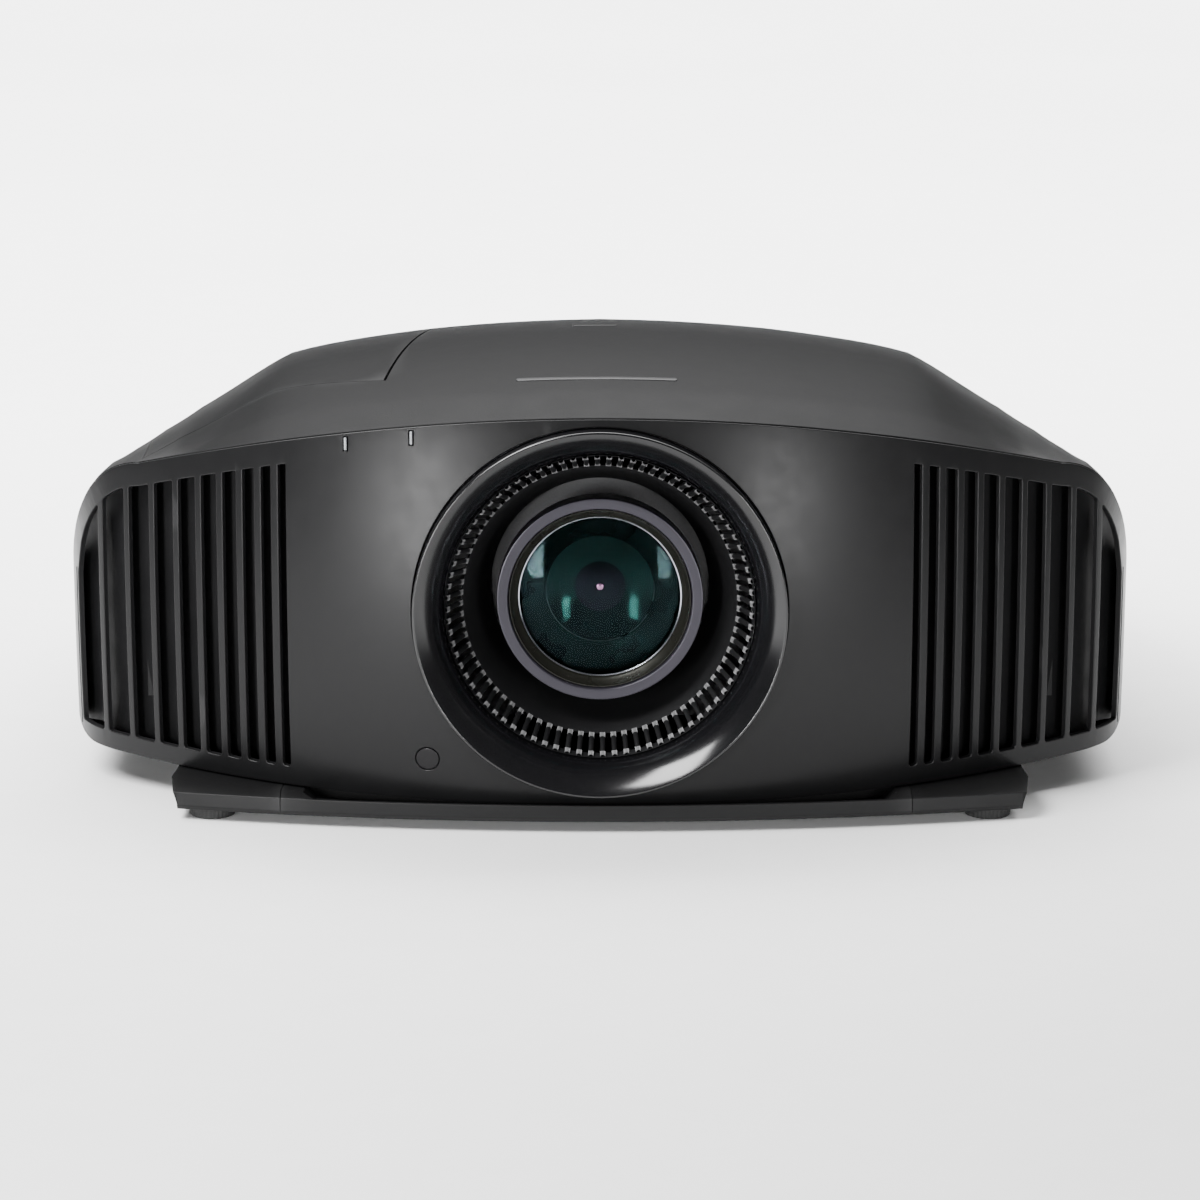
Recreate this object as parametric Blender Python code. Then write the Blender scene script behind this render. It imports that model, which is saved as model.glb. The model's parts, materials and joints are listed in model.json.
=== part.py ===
"""Home cinema projector, as separate solids: case, lens with power shift, lamp, fans, sockets and keys.

Metres, +Z up, the lens looks along -Y. The origin is the middle of the footprint on the resting surface.
Left and right are as seen from the front: left is -X.
"""

import math

import bmesh
import bpy
import numpy as np
from mathutils import Vector

# Driving dimensions of the whole case
WIDTH = 0.4956
DEPTH = 0.4636
HEIGHT = 0.2053
HALF = WIDTH / 2
FRONT = -DEPTH / 2
BACK = DEPTH / 2
WALL = 0.0025
GAP = 0.0005

# The front face: a wide arc in plan with rounded ends, bulging a little from top to bottom
FACE_RADIUS = 0.38
FACE_CORNER_X = 0.225
BULGE_HEIGHT = 0.100
BULGE_RADIUS = 0.44
FACE_TOP = 0.189
FACE_BOTTOM = 0.0111
CORNER_X = 0.212
CORNER_CENTRE = (0.205, 0.088)
CORNER_REACH = (HALF - 0.205, 0.0694)
CORNER_POWER = 2.4
LOW_CORNER = 0.0118

# The back face and the sides between them
BACK_RADIUS = 1.2
BACK_CORNER_X = 0.192
BACK_HALF = 0.228
TAPER_START = -0.06

# The roof: a crown across, two sloping shoulders, and a long fall towards the back
CROWN = 1.4
SHOULDER_X = 0.150
SHOULDER_SLOPE = 0.65
SHOULDER_END = 0.238
PEAK_Y = -0.110
RISE_RADIUS = 0.404
FALL_RADIUS = 0.609
FALL_SLOPE = 0.25
SEAM_Z = 0.046
PAN_Z = 0.0165
PAN_SETBACK = 0.0015

# The base below the case
TRAY_BOTTOM = 0.005
TRAY_TOP = 0.0160
TRAY_RADIUS = 0.85
TRAY_FRONT = -0.2295
TRAY_BACK = 0.205
TRAY_HALF = 0.198
CHIN_TOP = 0.0130
CHIN_HALF = 0.130

# Air slots in the front face, counted from the outside in
SLOTS = 10
SLOT_OUTER_X = 0.2435
SLOT_WIDTH = 0.0116
SLOT_WIDTH_STEP = 0.0009
FIN_WIDTH = 0.0024
FIN_WIDTH_STEP = 0.00014
SLOT_TOP_MARGIN = 0.0105
SLOT_BOTTOM_MARGIN = 0.0090

# Lens ring and lens, both centred on the optical axis
AXIS_Z = 0.101
RING_R = 0.084
BAND_OUTER = (0.0699, -0.2133)
BAND_INNER = (0.0612, -0.1964)
THROAT = (0.0500, -0.1670)
TEETH = 80
HOOD_R = 0.0468
NECK_R = 0.0405
TAIL_R = 0.0340
SHIFT_H = 0.005
GEAR_RING_R = 0.0500
PINION_R = 0.0075

# Feet
FRONT_FOOT = (0.1775, -0.1968)
REAR_FOOT = (0.150, 0.170)
FOOT_R = 0.0105
STUD_R = 0.0035
POCKET_R = 0.0117
POCKET_Z = 0.0080
STUD_TOP = 0.0142

# Terminal tray in the right side and key panel in the left side
TRAY_Y = (-0.075, 0.065)
TRAY_Z = (0.052, 0.089)
TRAY_FLOOR_X = 0.2215
KEYS_Y = (-0.075, 0.035)
KEYS_Z = (0.056, 0.092)
KEY_PANEL_X = -0.2385

COLOURS = {
    "shell": ((0.055, 0.055, 0.058), 0.45, 0.0),
    "satin": ((0.030, 0.030, 0.032), 0.30, 0.0),
    "gloss": ((0.008, 0.008, 0.009), 0.08, 0.0),
    "matte": ((0.015, 0.015, 0.016), 0.60, 0.0),
    "rubber": ((0.012, 0.012, 0.012), 0.85, 0.0),
    "rim": ((0.100, 0.095, 0.110), 0.35, 0.6),
    "glass": ((0.020, 0.070, 0.080), 0.03, 0.0),
    "metal": ((0.550, 0.550, 0.560), 0.35, 1.0),
    "brass": ((0.700, 0.500, 0.220), 0.30, 1.0),
    "white": ((0.600, 0.600, 0.600), 0.40, 0.0),
    "light": ((0.650, 0.680, 0.700), 0.30, 0.0),
    "board": ((0.020, 0.120, 0.050), 0.50, 0.0),
    "mirror": ((0.800, 0.800, 0.820), 0.05, 1.0),
}


# ---------------------------------------------------------------- scene helpers

def clear_scene():
    for old in list(bpy.data.objects):
        bpy.data.objects.remove(old, do_unlink=True)


def finish_material(finish):
    name = "finish_" + finish
    found = bpy.data.materials.get(name)
    if found:
        return found
    colour, roughness, metallic = COLOURS[finish]
    made = bpy.data.materials.new(name)
    made.use_nodes = True
    shader = made.node_tree.nodes["Principled BSDF"]
    shader.inputs["Base Color"].default_value = (*colour, 1.0)
    shader.inputs["Roughness"].default_value = roughness
    shader.inputs["Metallic"].default_value = metallic
    made.diffuse_color = (*colour, 1.0)
    return made


def add_object(name, points, faces, finish, origin=(0.0, 0.0, 0.0), smooth=True, wound=False):
    """One named object from world points; its origin may sit on a joint axis.

    Faces that all wind the same way already are only turned over together where they point inwards.
    """
    start = Vector(origin)
    mesh = bpy.data.meshes.new(name)
    mesh.from_pydata([Vector(p) - start for p in points], [], faces)
    work = bmesh.new()
    work.from_mesh(mesh)
    if not wound:
        bmesh.ops.recalc_face_normals(work, faces=work.faces)
    if work.calc_volume(signed=True) < 0:
        bmesh.ops.reverse_faces(work, faces=work.faces)
    work.to_mesh(mesh)
    work.free()
    if smooth:
        mesh.shade_smooth()
        mesh.set_sharp_from_angle(angle=math.radians(32))
    made = bpy.data.objects.new(name, mesh)
    made.location = start
    made.data.materials.append(finish_material(finish))
    bpy.context.scene.collection.objects.link(made)
    return made


def as_cutter(tool):
    tool.hide_render = True
    tool.display_type = "WIRE"
    return tool


def combine(target, tool, operation):
    """Boolean one object with another, which stays in the file as a hidden guide."""
    step = target.modifiers.new(operation.lower() + "_" + tool.name, "BOOLEAN")
    step.operation = operation
    step.solver = "EXACT"
    step.object = as_cutter(tool)
    return target


def cut(target, *tools):
    for tool in tools:
        combine(target, tool, "DIFFERENCE")
    return target


def join(target, *tools):
    for tool in tools:
        combine(target, tool, "UNION")
    return target


# ---------------------------------------------------------------- shape helpers

def box_faces(start):
    quads = ((0, 1, 2, 3), (7, 6, 5, 4), (0, 4, 5, 1), (1, 5, 6, 2), (2, 6, 7, 3), (3, 7, 4, 0))
    return [tuple(start + corner for corner in quad) for quad in quads]


def box_points(low, high):
    (x0, y0, z0), (x1, y1, z1) = low, high
    return [(x0, y0, z0), (x1, y0, z0), (x1, y1, z0), (x0, y1, z0),
            (x0, y0, z1), (x1, y0, z1), (x1, y1, z1), (x0, y1, z1)]


def box(name, low, high, finish, origin=(0.0, 0.0, 0.0), bevel=0.0):
    made = add_object(name, box_points(low, high), box_faces(0), finish, origin, smooth=False)
    if bevel:
        edge = made.modifiers.new("edges", "BEVEL")
        edge.width = bevel
        edge.segments = 1
    return made


def boxes(name, spans, finish="matte"):
    """Several separate boxes in one guide object."""
    points, faces = [], []
    for low, high in spans:
        faces += box_faces(len(points))
        points += box_points(low, high)
    return add_object(name, points, faces, finish, smooth=False)


def turned(name, profile, centre, axis, finish, steps=32, origin=None):
    """Turn a profile of (radius, place along the axis) about an axis through the centre.

    A profile that starts and ends on the axis makes a solid; any other one closes on itself as a ring.
    """
    solid = profile[0][0] == 0.0 and profile[-1][0] == 0.0
    points, rings = [], []
    for radius, along in profile:
        count = 1 if radius == 0.0 else steps
        rings.append(range(len(points), len(points) + count))
        for step in range(count):
            turn = 2 * math.pi * step / steps
            across = (radius * math.cos(turn), radius * math.sin(turn))
            points.append(along_axis(axis, centre, across, along))
    faces = []
    pairs = list(zip(rings, rings[1:])) + ([] if solid else [(rings[-1], rings[0])])
    for one, two in pairs:
        for step in range(steps):
            after = (step + 1) % steps
            if len(one) == 1:
                faces.append((one[0], two[step], two[after]))
            elif len(two) == 1:
                faces.append((one[step], two[0], one[after]))
            else:
                faces.append((one[step], two[step], two[after], one[after]))
    return add_object(name, points, faces, finish, origin or (0.0, 0.0, 0.0))


def along_axis(axis, centre, across, along):
    cx, cy, cz = centre
    if axis == "X":
        return (cx + along, cy + across[0], cz + across[1])
    if axis == "Y":
        return (cx + across[0], cy + along, cz + across[1])
    return (cx + across[0], cy + across[1], cz + along)


def rod(name, radius, start, end, centre, axis, finish, steps=16, origin=None):
    profile = [(0.0, start), (radius, start), (radius, end), (0.0, end)]
    return turned(name, profile, centre, axis, finish, steps, origin)


def loft(name, loops, finish, smooth=True):
    """A solid skin over closed loops of equal length, capped at both ends."""
    count = len(loops[0])
    points = [point for loop in loops for point in loop]
    faces = [tuple(range(count)), tuple(range(len(points) - count, len(points)))]
    for row in range(len(loops) - 1):
        for step in range(count):
            after = (step + 1) % count
            start = row * count
            faces.append((start + step, start + after, start + count + after, start + count + step))
    return add_object(name, points, faces, finish, smooth=smooth)


def prism(name, outline, low, high, axis, finish):
    """A flat outline of two coordinates pushed from low to high along an axis."""
    def place(point, level):
        if axis == "X":
            return (level, point[0], point[1])
        if axis == "Y":
            return (point[0], level, point[1])
        return (point[0], point[1], level)
    return loft(name, [[place(p, low) for p in outline], [place(p, high) for p in outline]],
                finish, smooth=False)


def sheet(name, grid, thickness, finish, away_from=(0.0, 0.0, 0.09)):
    """A wall of even thickness whose outer face is a grid of points."""
    outer = np.array(grid, float)
    normal = np.zeros_like(outer)
    flat = np.cross(outer[1:, 1:] - outer[:-1, :-1], outer[1:, :-1] - outer[:-1, 1:])
    flat /= np.linalg.norm(flat, axis=2, keepdims=True)
    for corner in (normal[1:, 1:], normal[:-1, 1:], normal[1:, :-1], normal[:-1, :-1]):
        corner += flat
    normal /= np.linalg.norm(normal, axis=2, keepdims=True)
    facing = np.sum(normal * (outer - np.array(away_from)), axis=2).mean()
    inner = outer - normal * thickness * (1 if facing > 0 else -1)
    rows, columns = outer.shape[:2]
    points = [tuple(p) for side in (outer, inner) for row in side for p in row]
    size = rows * columns

    def at(row, column, side):
        return side * size + row * columns + column

    faces = []
    for row in range(rows - 1):
        for column in range(columns - 1):
            around = ((row, column), (row + 1, column), (row + 1, column + 1), (row, column + 1))
            faces.append(tuple(at(*corner, 0) for corner in around))
            faces.append(tuple(at(*corner, 1) for corner in reversed(around)))
    border = [(0, c) for c in range(columns)] + [(r, columns - 1) for r in range(1, rows)]
    border += [(rows - 1, c) for c in range(columns - 2, -1, -1)] + [(r, 0) for r in range(rows - 2, 0, -1)]
    for one, two in zip(border, border[1:] + border[:1]):
        faces.append((at(*one, 0), at(*two, 0), at(*two, 1), at(*one, 1)))
    return add_object(name, points, faces, finish, wound=True)


# ---------------------------------------------------------------- the case as a surface

def smooth_step(value, start, end):
    share = min(max((value - start) / (end - start), 0.0), 1.0)
    return share * share * (3 - 2 * share)


def corner_radius(arc, corner_x, half):
    return (half - corner_x) / (1 - corner_x / arc)


def plan_drop(x, arc, corner_x, half):
    """How far an end's plan curve has fallen back at x, and the cosine of its turn there."""
    x = min(abs(x), half)
    if x <= corner_x:
        return arc - math.sqrt(arc * arc - x * x), math.sqrt(1 - (x / arc) ** 2)
    small = corner_radius(arc, corner_x, half)
    sine = corner_x / arc
    cosine = math.sqrt(1 - sine * sine)
    over = min((x - corner_x + small * sine) / small, 1.0)
    rise = math.sqrt(max(1 - over * over, 0.0))
    return arc * (1 - cosine) + small * (cosine - rise), rise


def face_drop(x):
    return plan_drop(x, FACE_RADIUS, FACE_CORNER_X, HALF)


def back_drop(x):
    return plan_drop(x, BACK_RADIUS, BACK_CORNER_X, BACK_HALF)


def bulge(z):
    return (z - BULGE_HEIGHT) ** 2 / (2 * BULGE_RADIUS)


def face_y(x, z):
    return FRONT + face_drop(x)[0] + bulge(z)


def corner_z(x, inset_x=0.0, inset_z=0.0):
    over = min((abs(x) - CORNER_CENTRE[0]) / (CORNER_REACH[0] - inset_x), 1.0)
    rise = (1 - over ** CORNER_POWER) ** (1 / CORNER_POWER)
    return CORNER_CENTRE[1] + (CORNER_REACH[1] - inset_z) * rise


def face_top(x):
    if abs(x) <= CORNER_X:
        return FACE_TOP - x * x / CROWN
    return corner_z(x)


def case_bottom(x):
    start = HALF - LOW_CORNER
    if abs(x) <= start:
        return FACE_BOTTOM + 0.115 * x * x
    over = min((abs(x) - start) / LOW_CORNER, 1.0)
    level = FACE_BOTTOM + 0.115 * start * start + LOW_CORNER
    return level - LOW_CORNER * math.sqrt(1 - over * over)


def roof_z(y):
    """Height of the roof's middle line."""
    run = y - PEAK_Y
    if run < 0:
        return HEIGHT - run * run / (2 * RISE_RADIUS)
    turn = FALL_SLOPE * FALL_RADIUS
    if run < turn:
        return HEIGHT - run * run / (2 * FALL_RADIUS)
    return HEIGHT - turn * turn / (2 * FALL_RADIUS) - FALL_SLOPE * (run - turn)


def corner_columns():
    """Places across the front where its rounded end turns by even angles."""
    small = corner_radius(FACE_RADIUS, FACE_CORNER_X, HALF)
    first = math.asin(FACE_CORNER_X / FACE_RADIUS)
    turns = [first + (math.pi / 2 - first) * step / 4 for step in range(1, 5)]
    return [HALF - small * (1 - math.sin(turn)) for turn in turns]


COLUMNS = [0.0, 0.04, 0.08, 0.115, SHOULDER_X, 0.180, 0.200, CORNER_X, FACE_CORNER_X, *corner_columns()]


def front_section():
    return [(x, face_top(x)) for x in COLUMNS]


def shoulder_section(middle, half):
    """Crown, straight shoulder and rounded edge of a section whose middle is at the given height."""
    section = [(x, middle - x * x / CROWN) for x in COLUMNS[:5]]
    start_x, start_z = section[-1]
    stretch = (half - SHOULDER_X) / (HALF - SHOULDER_X)
    for x in (0.172, 0.194, 0.212, 0.226, SHOULDER_END):
        section.append((SHOULDER_X + (x - SHOULDER_X) * stretch, start_z - SHOULDER_SLOPE * (x - start_x)))
    edge_x, edge_z = section[-1]
    tip_z = start_z - SHOULDER_SLOPE * (HALF - start_x)
    for share in (0.33, 0.66, 1.0):
        far = 1 - share
        x = far * far * edge_x + (1 - far * far) * half
        z = far * far * edge_z + 2 * far * share * tip_z + share * share * (tip_z - 0.012)
        section.append((x, z))
    return section


def side_half(y):
    share = min(max((y - TAPER_START) / (BACK - 0.058 - TAPER_START), 0.0), 1.0)
    return HALF - (HALF - BACK_HALF) * share ** 1.5


def station(middle_y):
    """Section of the case behind the front edge, with the pull of the front and back curves."""
    to_front = min(max((0.03 - middle_y) / (0.03 - FRONT - bulge(FACE_TOP)), 0.0), 1.0)
    to_back = min(max((middle_y - 0.10) / (BACK - 0.10), 0.0), 1.0)
    side_y = middle_y + to_front * face_drop(HALF)[0] - to_back * back_drop(BACK_HALF)[0]
    half = side_half(side_y)
    share = smooth_step(middle_y, FRONT, -0.12)
    middle = roof_z(middle_y)
    ahead = [(x, z + middle - FACE_TOP) for x, z in front_section()[:5]] + front_section()[5:]
    behind = shoulder_section(middle, half)
    section = [((1 - share) * a[0] + share * b[0], (1 - share) * a[1] + share * b[1])
               for a, b in zip(ahead, behind)]

    def place(x, z):
        front = face_drop(x * HALF / half)[0] + bulge(z) - bulge(FACE_TOP)
        back = back_drop(x * BACK_HALF / half)[0]
        return (x, middle_y + to_front * front - to_back * back, z)
    return section, place, half


def front_edge(x, z, wall):
    drop, cosine = face_drop(x)
    behind = drop + (wall + GAP) / max(cosine, 0.05)
    return FRONT + bulge(z) + min(behind, face_drop(HALF)[0] + GAP)


def back_edge(x, wall):
    drop, cosine = back_drop(x)
    behind = drop + (wall + GAP) / max(cosine, 0.05)
    return BACK - min(behind, back_drop(BACK_HALF)[0] + GAP)


def mirrored(row):
    """A half row of points from the middle to the right, completed to the left."""
    return [(-x, y, z) for x, y, z in row[:0:-1]] + list(row)


STATIONS = (-0.200, -0.160, PEAK_Y, -0.060, -0.010, 0.042, 0.090, 0.140, 0.190)
BACK_MIDDLE_Y = BACK - WALL - GAP


def back_section():
    return shoulder_section(roof_z(BACK_MIDDLE_Y), BACK_HALF)


def side_run(top_z, bottom_z):
    return [top_z + (bottom_z - top_z) * share for share in (0.5, 1.0)]


def roof_grid():
    rows = []
    section = front_section()
    side = [(HALF, z) for z in side_run(section[-1][1], SEAM_Z)]
    rows.append(mirrored([(x, front_edge(x, z, WALL), z) for x, z in section + side]))
    for middle_y in STATIONS:
        section, place, half = station(middle_y)
        side = [(half, z) for z in side_run(section[-1][1], SEAM_Z)]
        rows.append(mirrored([place(x, z) for x, z in section + side]))
    section = back_section()
    side = [(BACK_HALF, z) for z in side_run(section[-1][1], SEAM_Z)]
    rows.append(mirrored([(x, back_edge(x, WALL), z) for x, z in section + side]))
    return rows


def pan_z(x, half):
    return max(case_bottom(x * HALF / half), PAN_Z)


PAN_COLUMNS = (0.0, 0.10, 0.185, 0.212, 0.236, 0.2425, 0.2463, HALF)


def pan_grid():
    top = SEAM_Z - GAP
    rows = []
    section = [(x, pan_z(x, HALF)) for x in PAN_COLUMNS] + [(HALF, top)]
    rows.append(mirrored([(x, front_edge(x, z, WALL + PAN_SETBACK), z) for x, z in section]))
    for middle_y in STATIONS[::2]:
        place, half = station(middle_y)[1:]
        section = [(x * half / HALF, pan_z(x, HALF)) for x in PAN_COLUMNS] + [(half, top)]
        rows.append(mirrored([place(x, z) for x, z in section]))
    share = BACK_HALF / HALF
    section = [(x * share, pan_z(x, HALF)) for x in PAN_COLUMNS] + [(BACK_HALF, top)]
    rows.append(mirrored([(x, back_edge(x, WALL), z) for x, z in section]))
    return rows


# ---------------------------------------------------------------- case parts

LAMP_COVER = ((-0.0990, -0.1560), (-0.0757, 0.0200), (-0.2150, 0.0200), (-0.2150, -0.1050))
LAMP_SCREW = (-0.120, 0.008)
LAMP_SEAT = 0.1765


def grown(outline, amounts):
    """Move each side of a convex outline outwards by its own amount."""
    middle = Vector((sum(p[0] for p in outline), sum(p[1] for p in outline))) / len(outline)
    lines = []
    for step, amount in enumerate(amounts):
        start, end = Vector(outline[step]), Vector(outline[(step + 1) % len(outline)])
        along = (end - start).normalized()
        out = Vector((along.y, -along.x))
        if out.dot((start + end) / 2 - middle) < 0:
            out = -out
        lines.append((start + out * amount, along))
    corners = []
    for step in range(len(lines)):
        (p, a), (q, b) = lines[step - 1], lines[step]
        share = ((q.x - p.x) * b.y - (q.y - p.y) * b.x) / (a.x * b.y - a.y * b.x)
        corners.append(tuple(p + a * share))
    return corners


def make_roof():
    roof = sheet("top_cover", roof_grid(), WALL, "shell")
    outline = grown(LAMP_COVER, (0.0012, 0.0004, 0.0004, 0.0004))
    hole = prism("lamp_opening", outline, 0.10, 0.25, "Z", "matte")
    side_tray = box("tray_window", (0.20, TRAY_Y[0] + 0.002, TRAY_Z[0] + 0.002),
                    (0.26, TRAY_Y[1] - 0.002, TRAY_Z[1] - 0.002), "matte")
    side_keys = box("key_window", (-0.26, KEYS_Y[0] + 0.003, KEYS_Z[0] + 0.002),
                    (-0.20, KEYS_Y[1] - 0.003, KEYS_Z[1] - 0.002), "matte")
    cut(roof, hole, side_tray, side_keys)
    lid = sheet("lamp_cover", roof_grid(), WALL, "shell")
    combine(lid, prism("lamp_outline", LAMP_COVER, 0.10, 0.25, "Z", "matte"), "INTERSECT")
    lid_screw(lid)


def lid_screw(lid):
    """A captive screw, sunk in a boss under the lid."""
    def post(name, radius, low, high):
        return rod(name, radius, low, high, (*LAMP_SCREW, 0.0), "Z", "matte", 24)
    seat = LAMP_SEAT
    join(lid, post("screw_boss", 0.0068, seat - 0.0020, seat + 0.0050))
    pocket = post("screw_pocket", 0.0052, seat, seat + 0.03)
    cut(lid, pocket, post("screw_hole", 0.0028, seat - 0.02, seat + 0.02))
    under, top = seat + 0.0002, seat + 0.0024
    profile = [(0.0, seat - 0.0125), (0.0021, seat - 0.0125), (0.0021, under), (0.0047, under),
               (0.0047, top - 0.0010), (0.0038, top), (0.0, top)]
    head = turned("lamp_cover_screw", profile, (*LAMP_SCREW, 0.0), "Z", "metal", 16, (*LAMP_SCREW, seat))
    x, y = LAMP_SCREW
    cut(head, box("screw_slot", (x - 0.006, y - 0.0005, top - 0.0010), (x + 0.006, y + 0.0005, top + 0.0008),
                  "matte"))


def slot_spans():
    """Outer and inner x of each air slot on one side."""
    spans = []
    outer = SLOT_OUTER_X
    for step in range(SLOTS):
        inner = outer - SLOT_WIDTH + step * SLOT_WIDTH_STEP
        spans.append((outer, inner))
        outer = inner - FIN_WIDTH - step * FIN_WIDTH_STEP
    return spans


def slot_top(x):
    if x <= CORNER_X:
        return FACE_TOP - x * x / CROWN - SLOT_TOP_MARGIN
    return corner_z(x, 0.0040, SLOT_TOP_MARGIN)


def make_slot_cutter():
    points, faces = [], []
    for outer, inner in slot_spans():
        for side in (-1, 1):
            places = [outer, inner] if inner < 0.225 else [outer, outer - 0.003, outer - 0.0065, inner]
            outline = [(x, slot_top(x)) for x in places]
            low = case_bottom(inner) + SLOT_BOTTOM_MARGIN
            outline += [(inner, low), (outer, low + 0.0006)]
            count = len(outline)
            start = len(points)
            for y in (-0.26, -0.09):
                points += [(side * x, y, z) for x, z in outline]
            faces.append(tuple(range(start, start + count)))
            faces.append(tuple(range(start + count, start + 2 * count)))
            for step in range(count):
                after = (step + 1) % count
                faces.append((start + step, start + after, start + count + after, start + count + step))
    return add_object("air_slots", points, faces, "matte", smooth=False)


STATUS_LIGHTS = ((-0.1138, 0.1722, 0.1778), (-0.0841, 0.1763, 0.1820))
LIGHT_WIDTH = 0.0011
WINDOW_PLACE = (-0.078, 0.032)
WINDOW_R = 0.0052


def make_face():
    rows = []
    for share in (0.0, 0.17, 0.34, 0.5, 0.66, 0.83, 1.0):
        row = []
        for x in COLUMNS:
            z = case_bottom(x) + share * (face_top(x) - case_bottom(x))
            row.append((x, face_y(x, z), z))
        rows.append(mirrored(row))
    face = sheet("front_fascia", rows, WALL, "satin", away_from=(0.0, 0.05, 0.1))
    lens_hole = rod("lens_hole", RING_R + GAP, -0.30, -0.10, (0.0, 0.0, AXIS_Z), "Y", "matte", 64)
    cut(face, make_slot_cutter(), lens_hole)
    grow = 0.0003
    spans = []
    for number, (x, low, high) in enumerate(STATUS_LIGHTS, 1):
        y = face_y(x, (low + high) / 2)
        half = LIGHT_WIDTH / 2
        box("status_light_%d" % number, (x - half, y - 0.0002, low), (x + half, y + 0.0022, high), "light")
        spans.append(((x - half - grow, y - 0.01, low - grow), (x + half + grow, y + 0.01, high + grow)))
    cut(face, boxes("light_holes", spans))
    x, z = WINDOW_PLACE
    y = face_y(x, z)
    cut(face, rod("window_hole", WINDOW_R + grow, y - 0.02, y + 0.02, (x, 0.0, z), "Y", "matte", 24))
    rod("remote_window", WINDOW_R, y + 0.0004, y + 0.0030, (x, 0.0, z), "Y", "gloss", 24)


def make_pan():
    sheet("bottom_pan", pan_grid(), WALL, "shell", away_from=(0.0, 0.0, 0.12))


def tray_column(x):
    """Outline of the base in the YZ plane at x: chin, recess behind it, or a slope up to the front face."""
    across = min(abs(x), TRAY_HALF)
    chin_y = TRAY_FRONT + across * across / (2 * TRAY_RADIUS)
    face_z = case_bottom(across)
    face = FRONT + face_drop(across)[0] + bulge(face_z)
    step_y = face + 0.0060
    if across <= CHIN_HALF:
        lip = [(chin_y, CHIN_TOP), (chin_y + 0.0022, CHIN_TOP), (chin_y + 0.0024, 0.0075),
               (step_y, 0.0075)]
    else:
        lip_z = face_z - 0.0006
        lip = [(chin_y + 0.0008, CHIN_TOP), (chin_y + 0.35 * (face - chin_y), lip_z + 0.0020),
               (face - 0.0006, lip_z), (step_y, lip_z)]
    return [(TRAY_BACK, TRAY_BOTTOM), (chin_y + 0.0015, TRAY_BOTTOM), (chin_y, TRAY_BOTTOM + 0.002), *lip,
            (step_y + 0.0004, TRAY_TOP), (TRAY_BACK, TRAY_TOP)]


def make_tray():
    places = [0.0, 0.035, 0.07, 0.10, CHIN_HALF, CHIN_HALF + 0.005, 0.150, 0.170, 0.185, 0.196]
    loops = []
    for x in [-p for p in places[:0:-1]] + places:
        lean = 0.0
        if abs(x) == places[-1]:
            lean = math.copysign(0.0045, x)
        loops.append([(x - lean * (1 - (z - TRAY_BOTTOM) / (TRAY_TOP - TRAY_BOTTOM)), y, z)
                      for y, z in tray_column(x)])
    tray = loft("base_tray", loops, "shell")
    for side, label in ((-1, "left"), (1, "right")):
        place = (side * FRONT_FOOT[0], FRONT_FOOT[1], 0.0)
        pocket = [(0.0, 0.0), (POCKET_R, 0.0), (POCKET_R, POCKET_Z), (STUD_R + 0.0005, POCKET_Z),
                  (STUD_R + 0.0005, STUD_TOP + 0.0004), (0.0, STUD_TOP + 0.0004)]
        cut(tray, turned("foot_pocket_" + label, pocket, place, "Z", "matte", 24))
        wheel_top = POCKET_Z - 0.0010
        wheel = [(0.0, 0.0), (FOOT_R - 0.0012, 0.0), (FOOT_R, 0.0012), (FOOT_R, wheel_top), (0.0, wheel_top)]
        turned("foot_wheel_" + label, wheel, place, "Z", "rubber", 24, place)
        rod("foot_stud_" + label, STUD_R, wheel_top + 0.0003, STUD_TOP, place, "Z", "metal", 16, place)
        back = (side * REAR_FOOT[0], REAR_FOOT[1], 0.0)
        pad = [(0.0, 0.0), (0.0108, 0.0), (0.0120, 0.0012), (0.0120, TRAY_BOTTOM - 0.0003),
               (0.0, TRAY_BOTTOM - 0.0003)]
        turned("rear_foot_" + label, pad, back, "Z", "rubber", 24, back)


def make_back():
    section = back_section()
    rows = []
    share_x = BACK_HALF / HALF
    for share in (0.0, 0.2, 0.4, 0.6, 0.8, 1.0):
        row = []
        for x, top in section:
            low = pan_z(x / share_x, HALF)
            row.append((x, BACK - back_drop(x)[0], low + share * (top - low)))
        rows.append(mirrored(row))
    back = sheet("rear_panel", rows, WALL, "shell", away_from=(0.0, -0.05, 0.09))
    spans = []
    for side in (-1, 1):
        for step in range(9):
            z = 0.040 + step * 0.008
            inner, outer = sorted((side * 0.018, side * (0.150 - 0.004 * step)))
            spans.append(((inner, 0.18, z), (outer, 0.26, z + 0.0035)))
    cut(back, boxes("intake_slots", spans))


# ---------------------------------------------------------------- lens ring and lens

AXIS = (0.0, 0.0, AXIS_Z)


def make_lens_ring():
    edge = RING_R - 0.0012
    profile = [(RING_R, -0.2205), (RING_R, FRONT + 0.0005), (RING_R - 0.0005, FRONT), (edge, FRONT),
               (0.0775, -0.2245), (BAND_OUTER[0] + GAP, BAND_OUTER[1]), (BAND_OUTER[0] + GAP, -0.2105),
               (RING_R - 0.0045, -0.2225), (RING_R - 0.0025, -0.2205)]
    turned("lens_ring", profile, AXIS, "Y", "gloss", 48)


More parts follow.
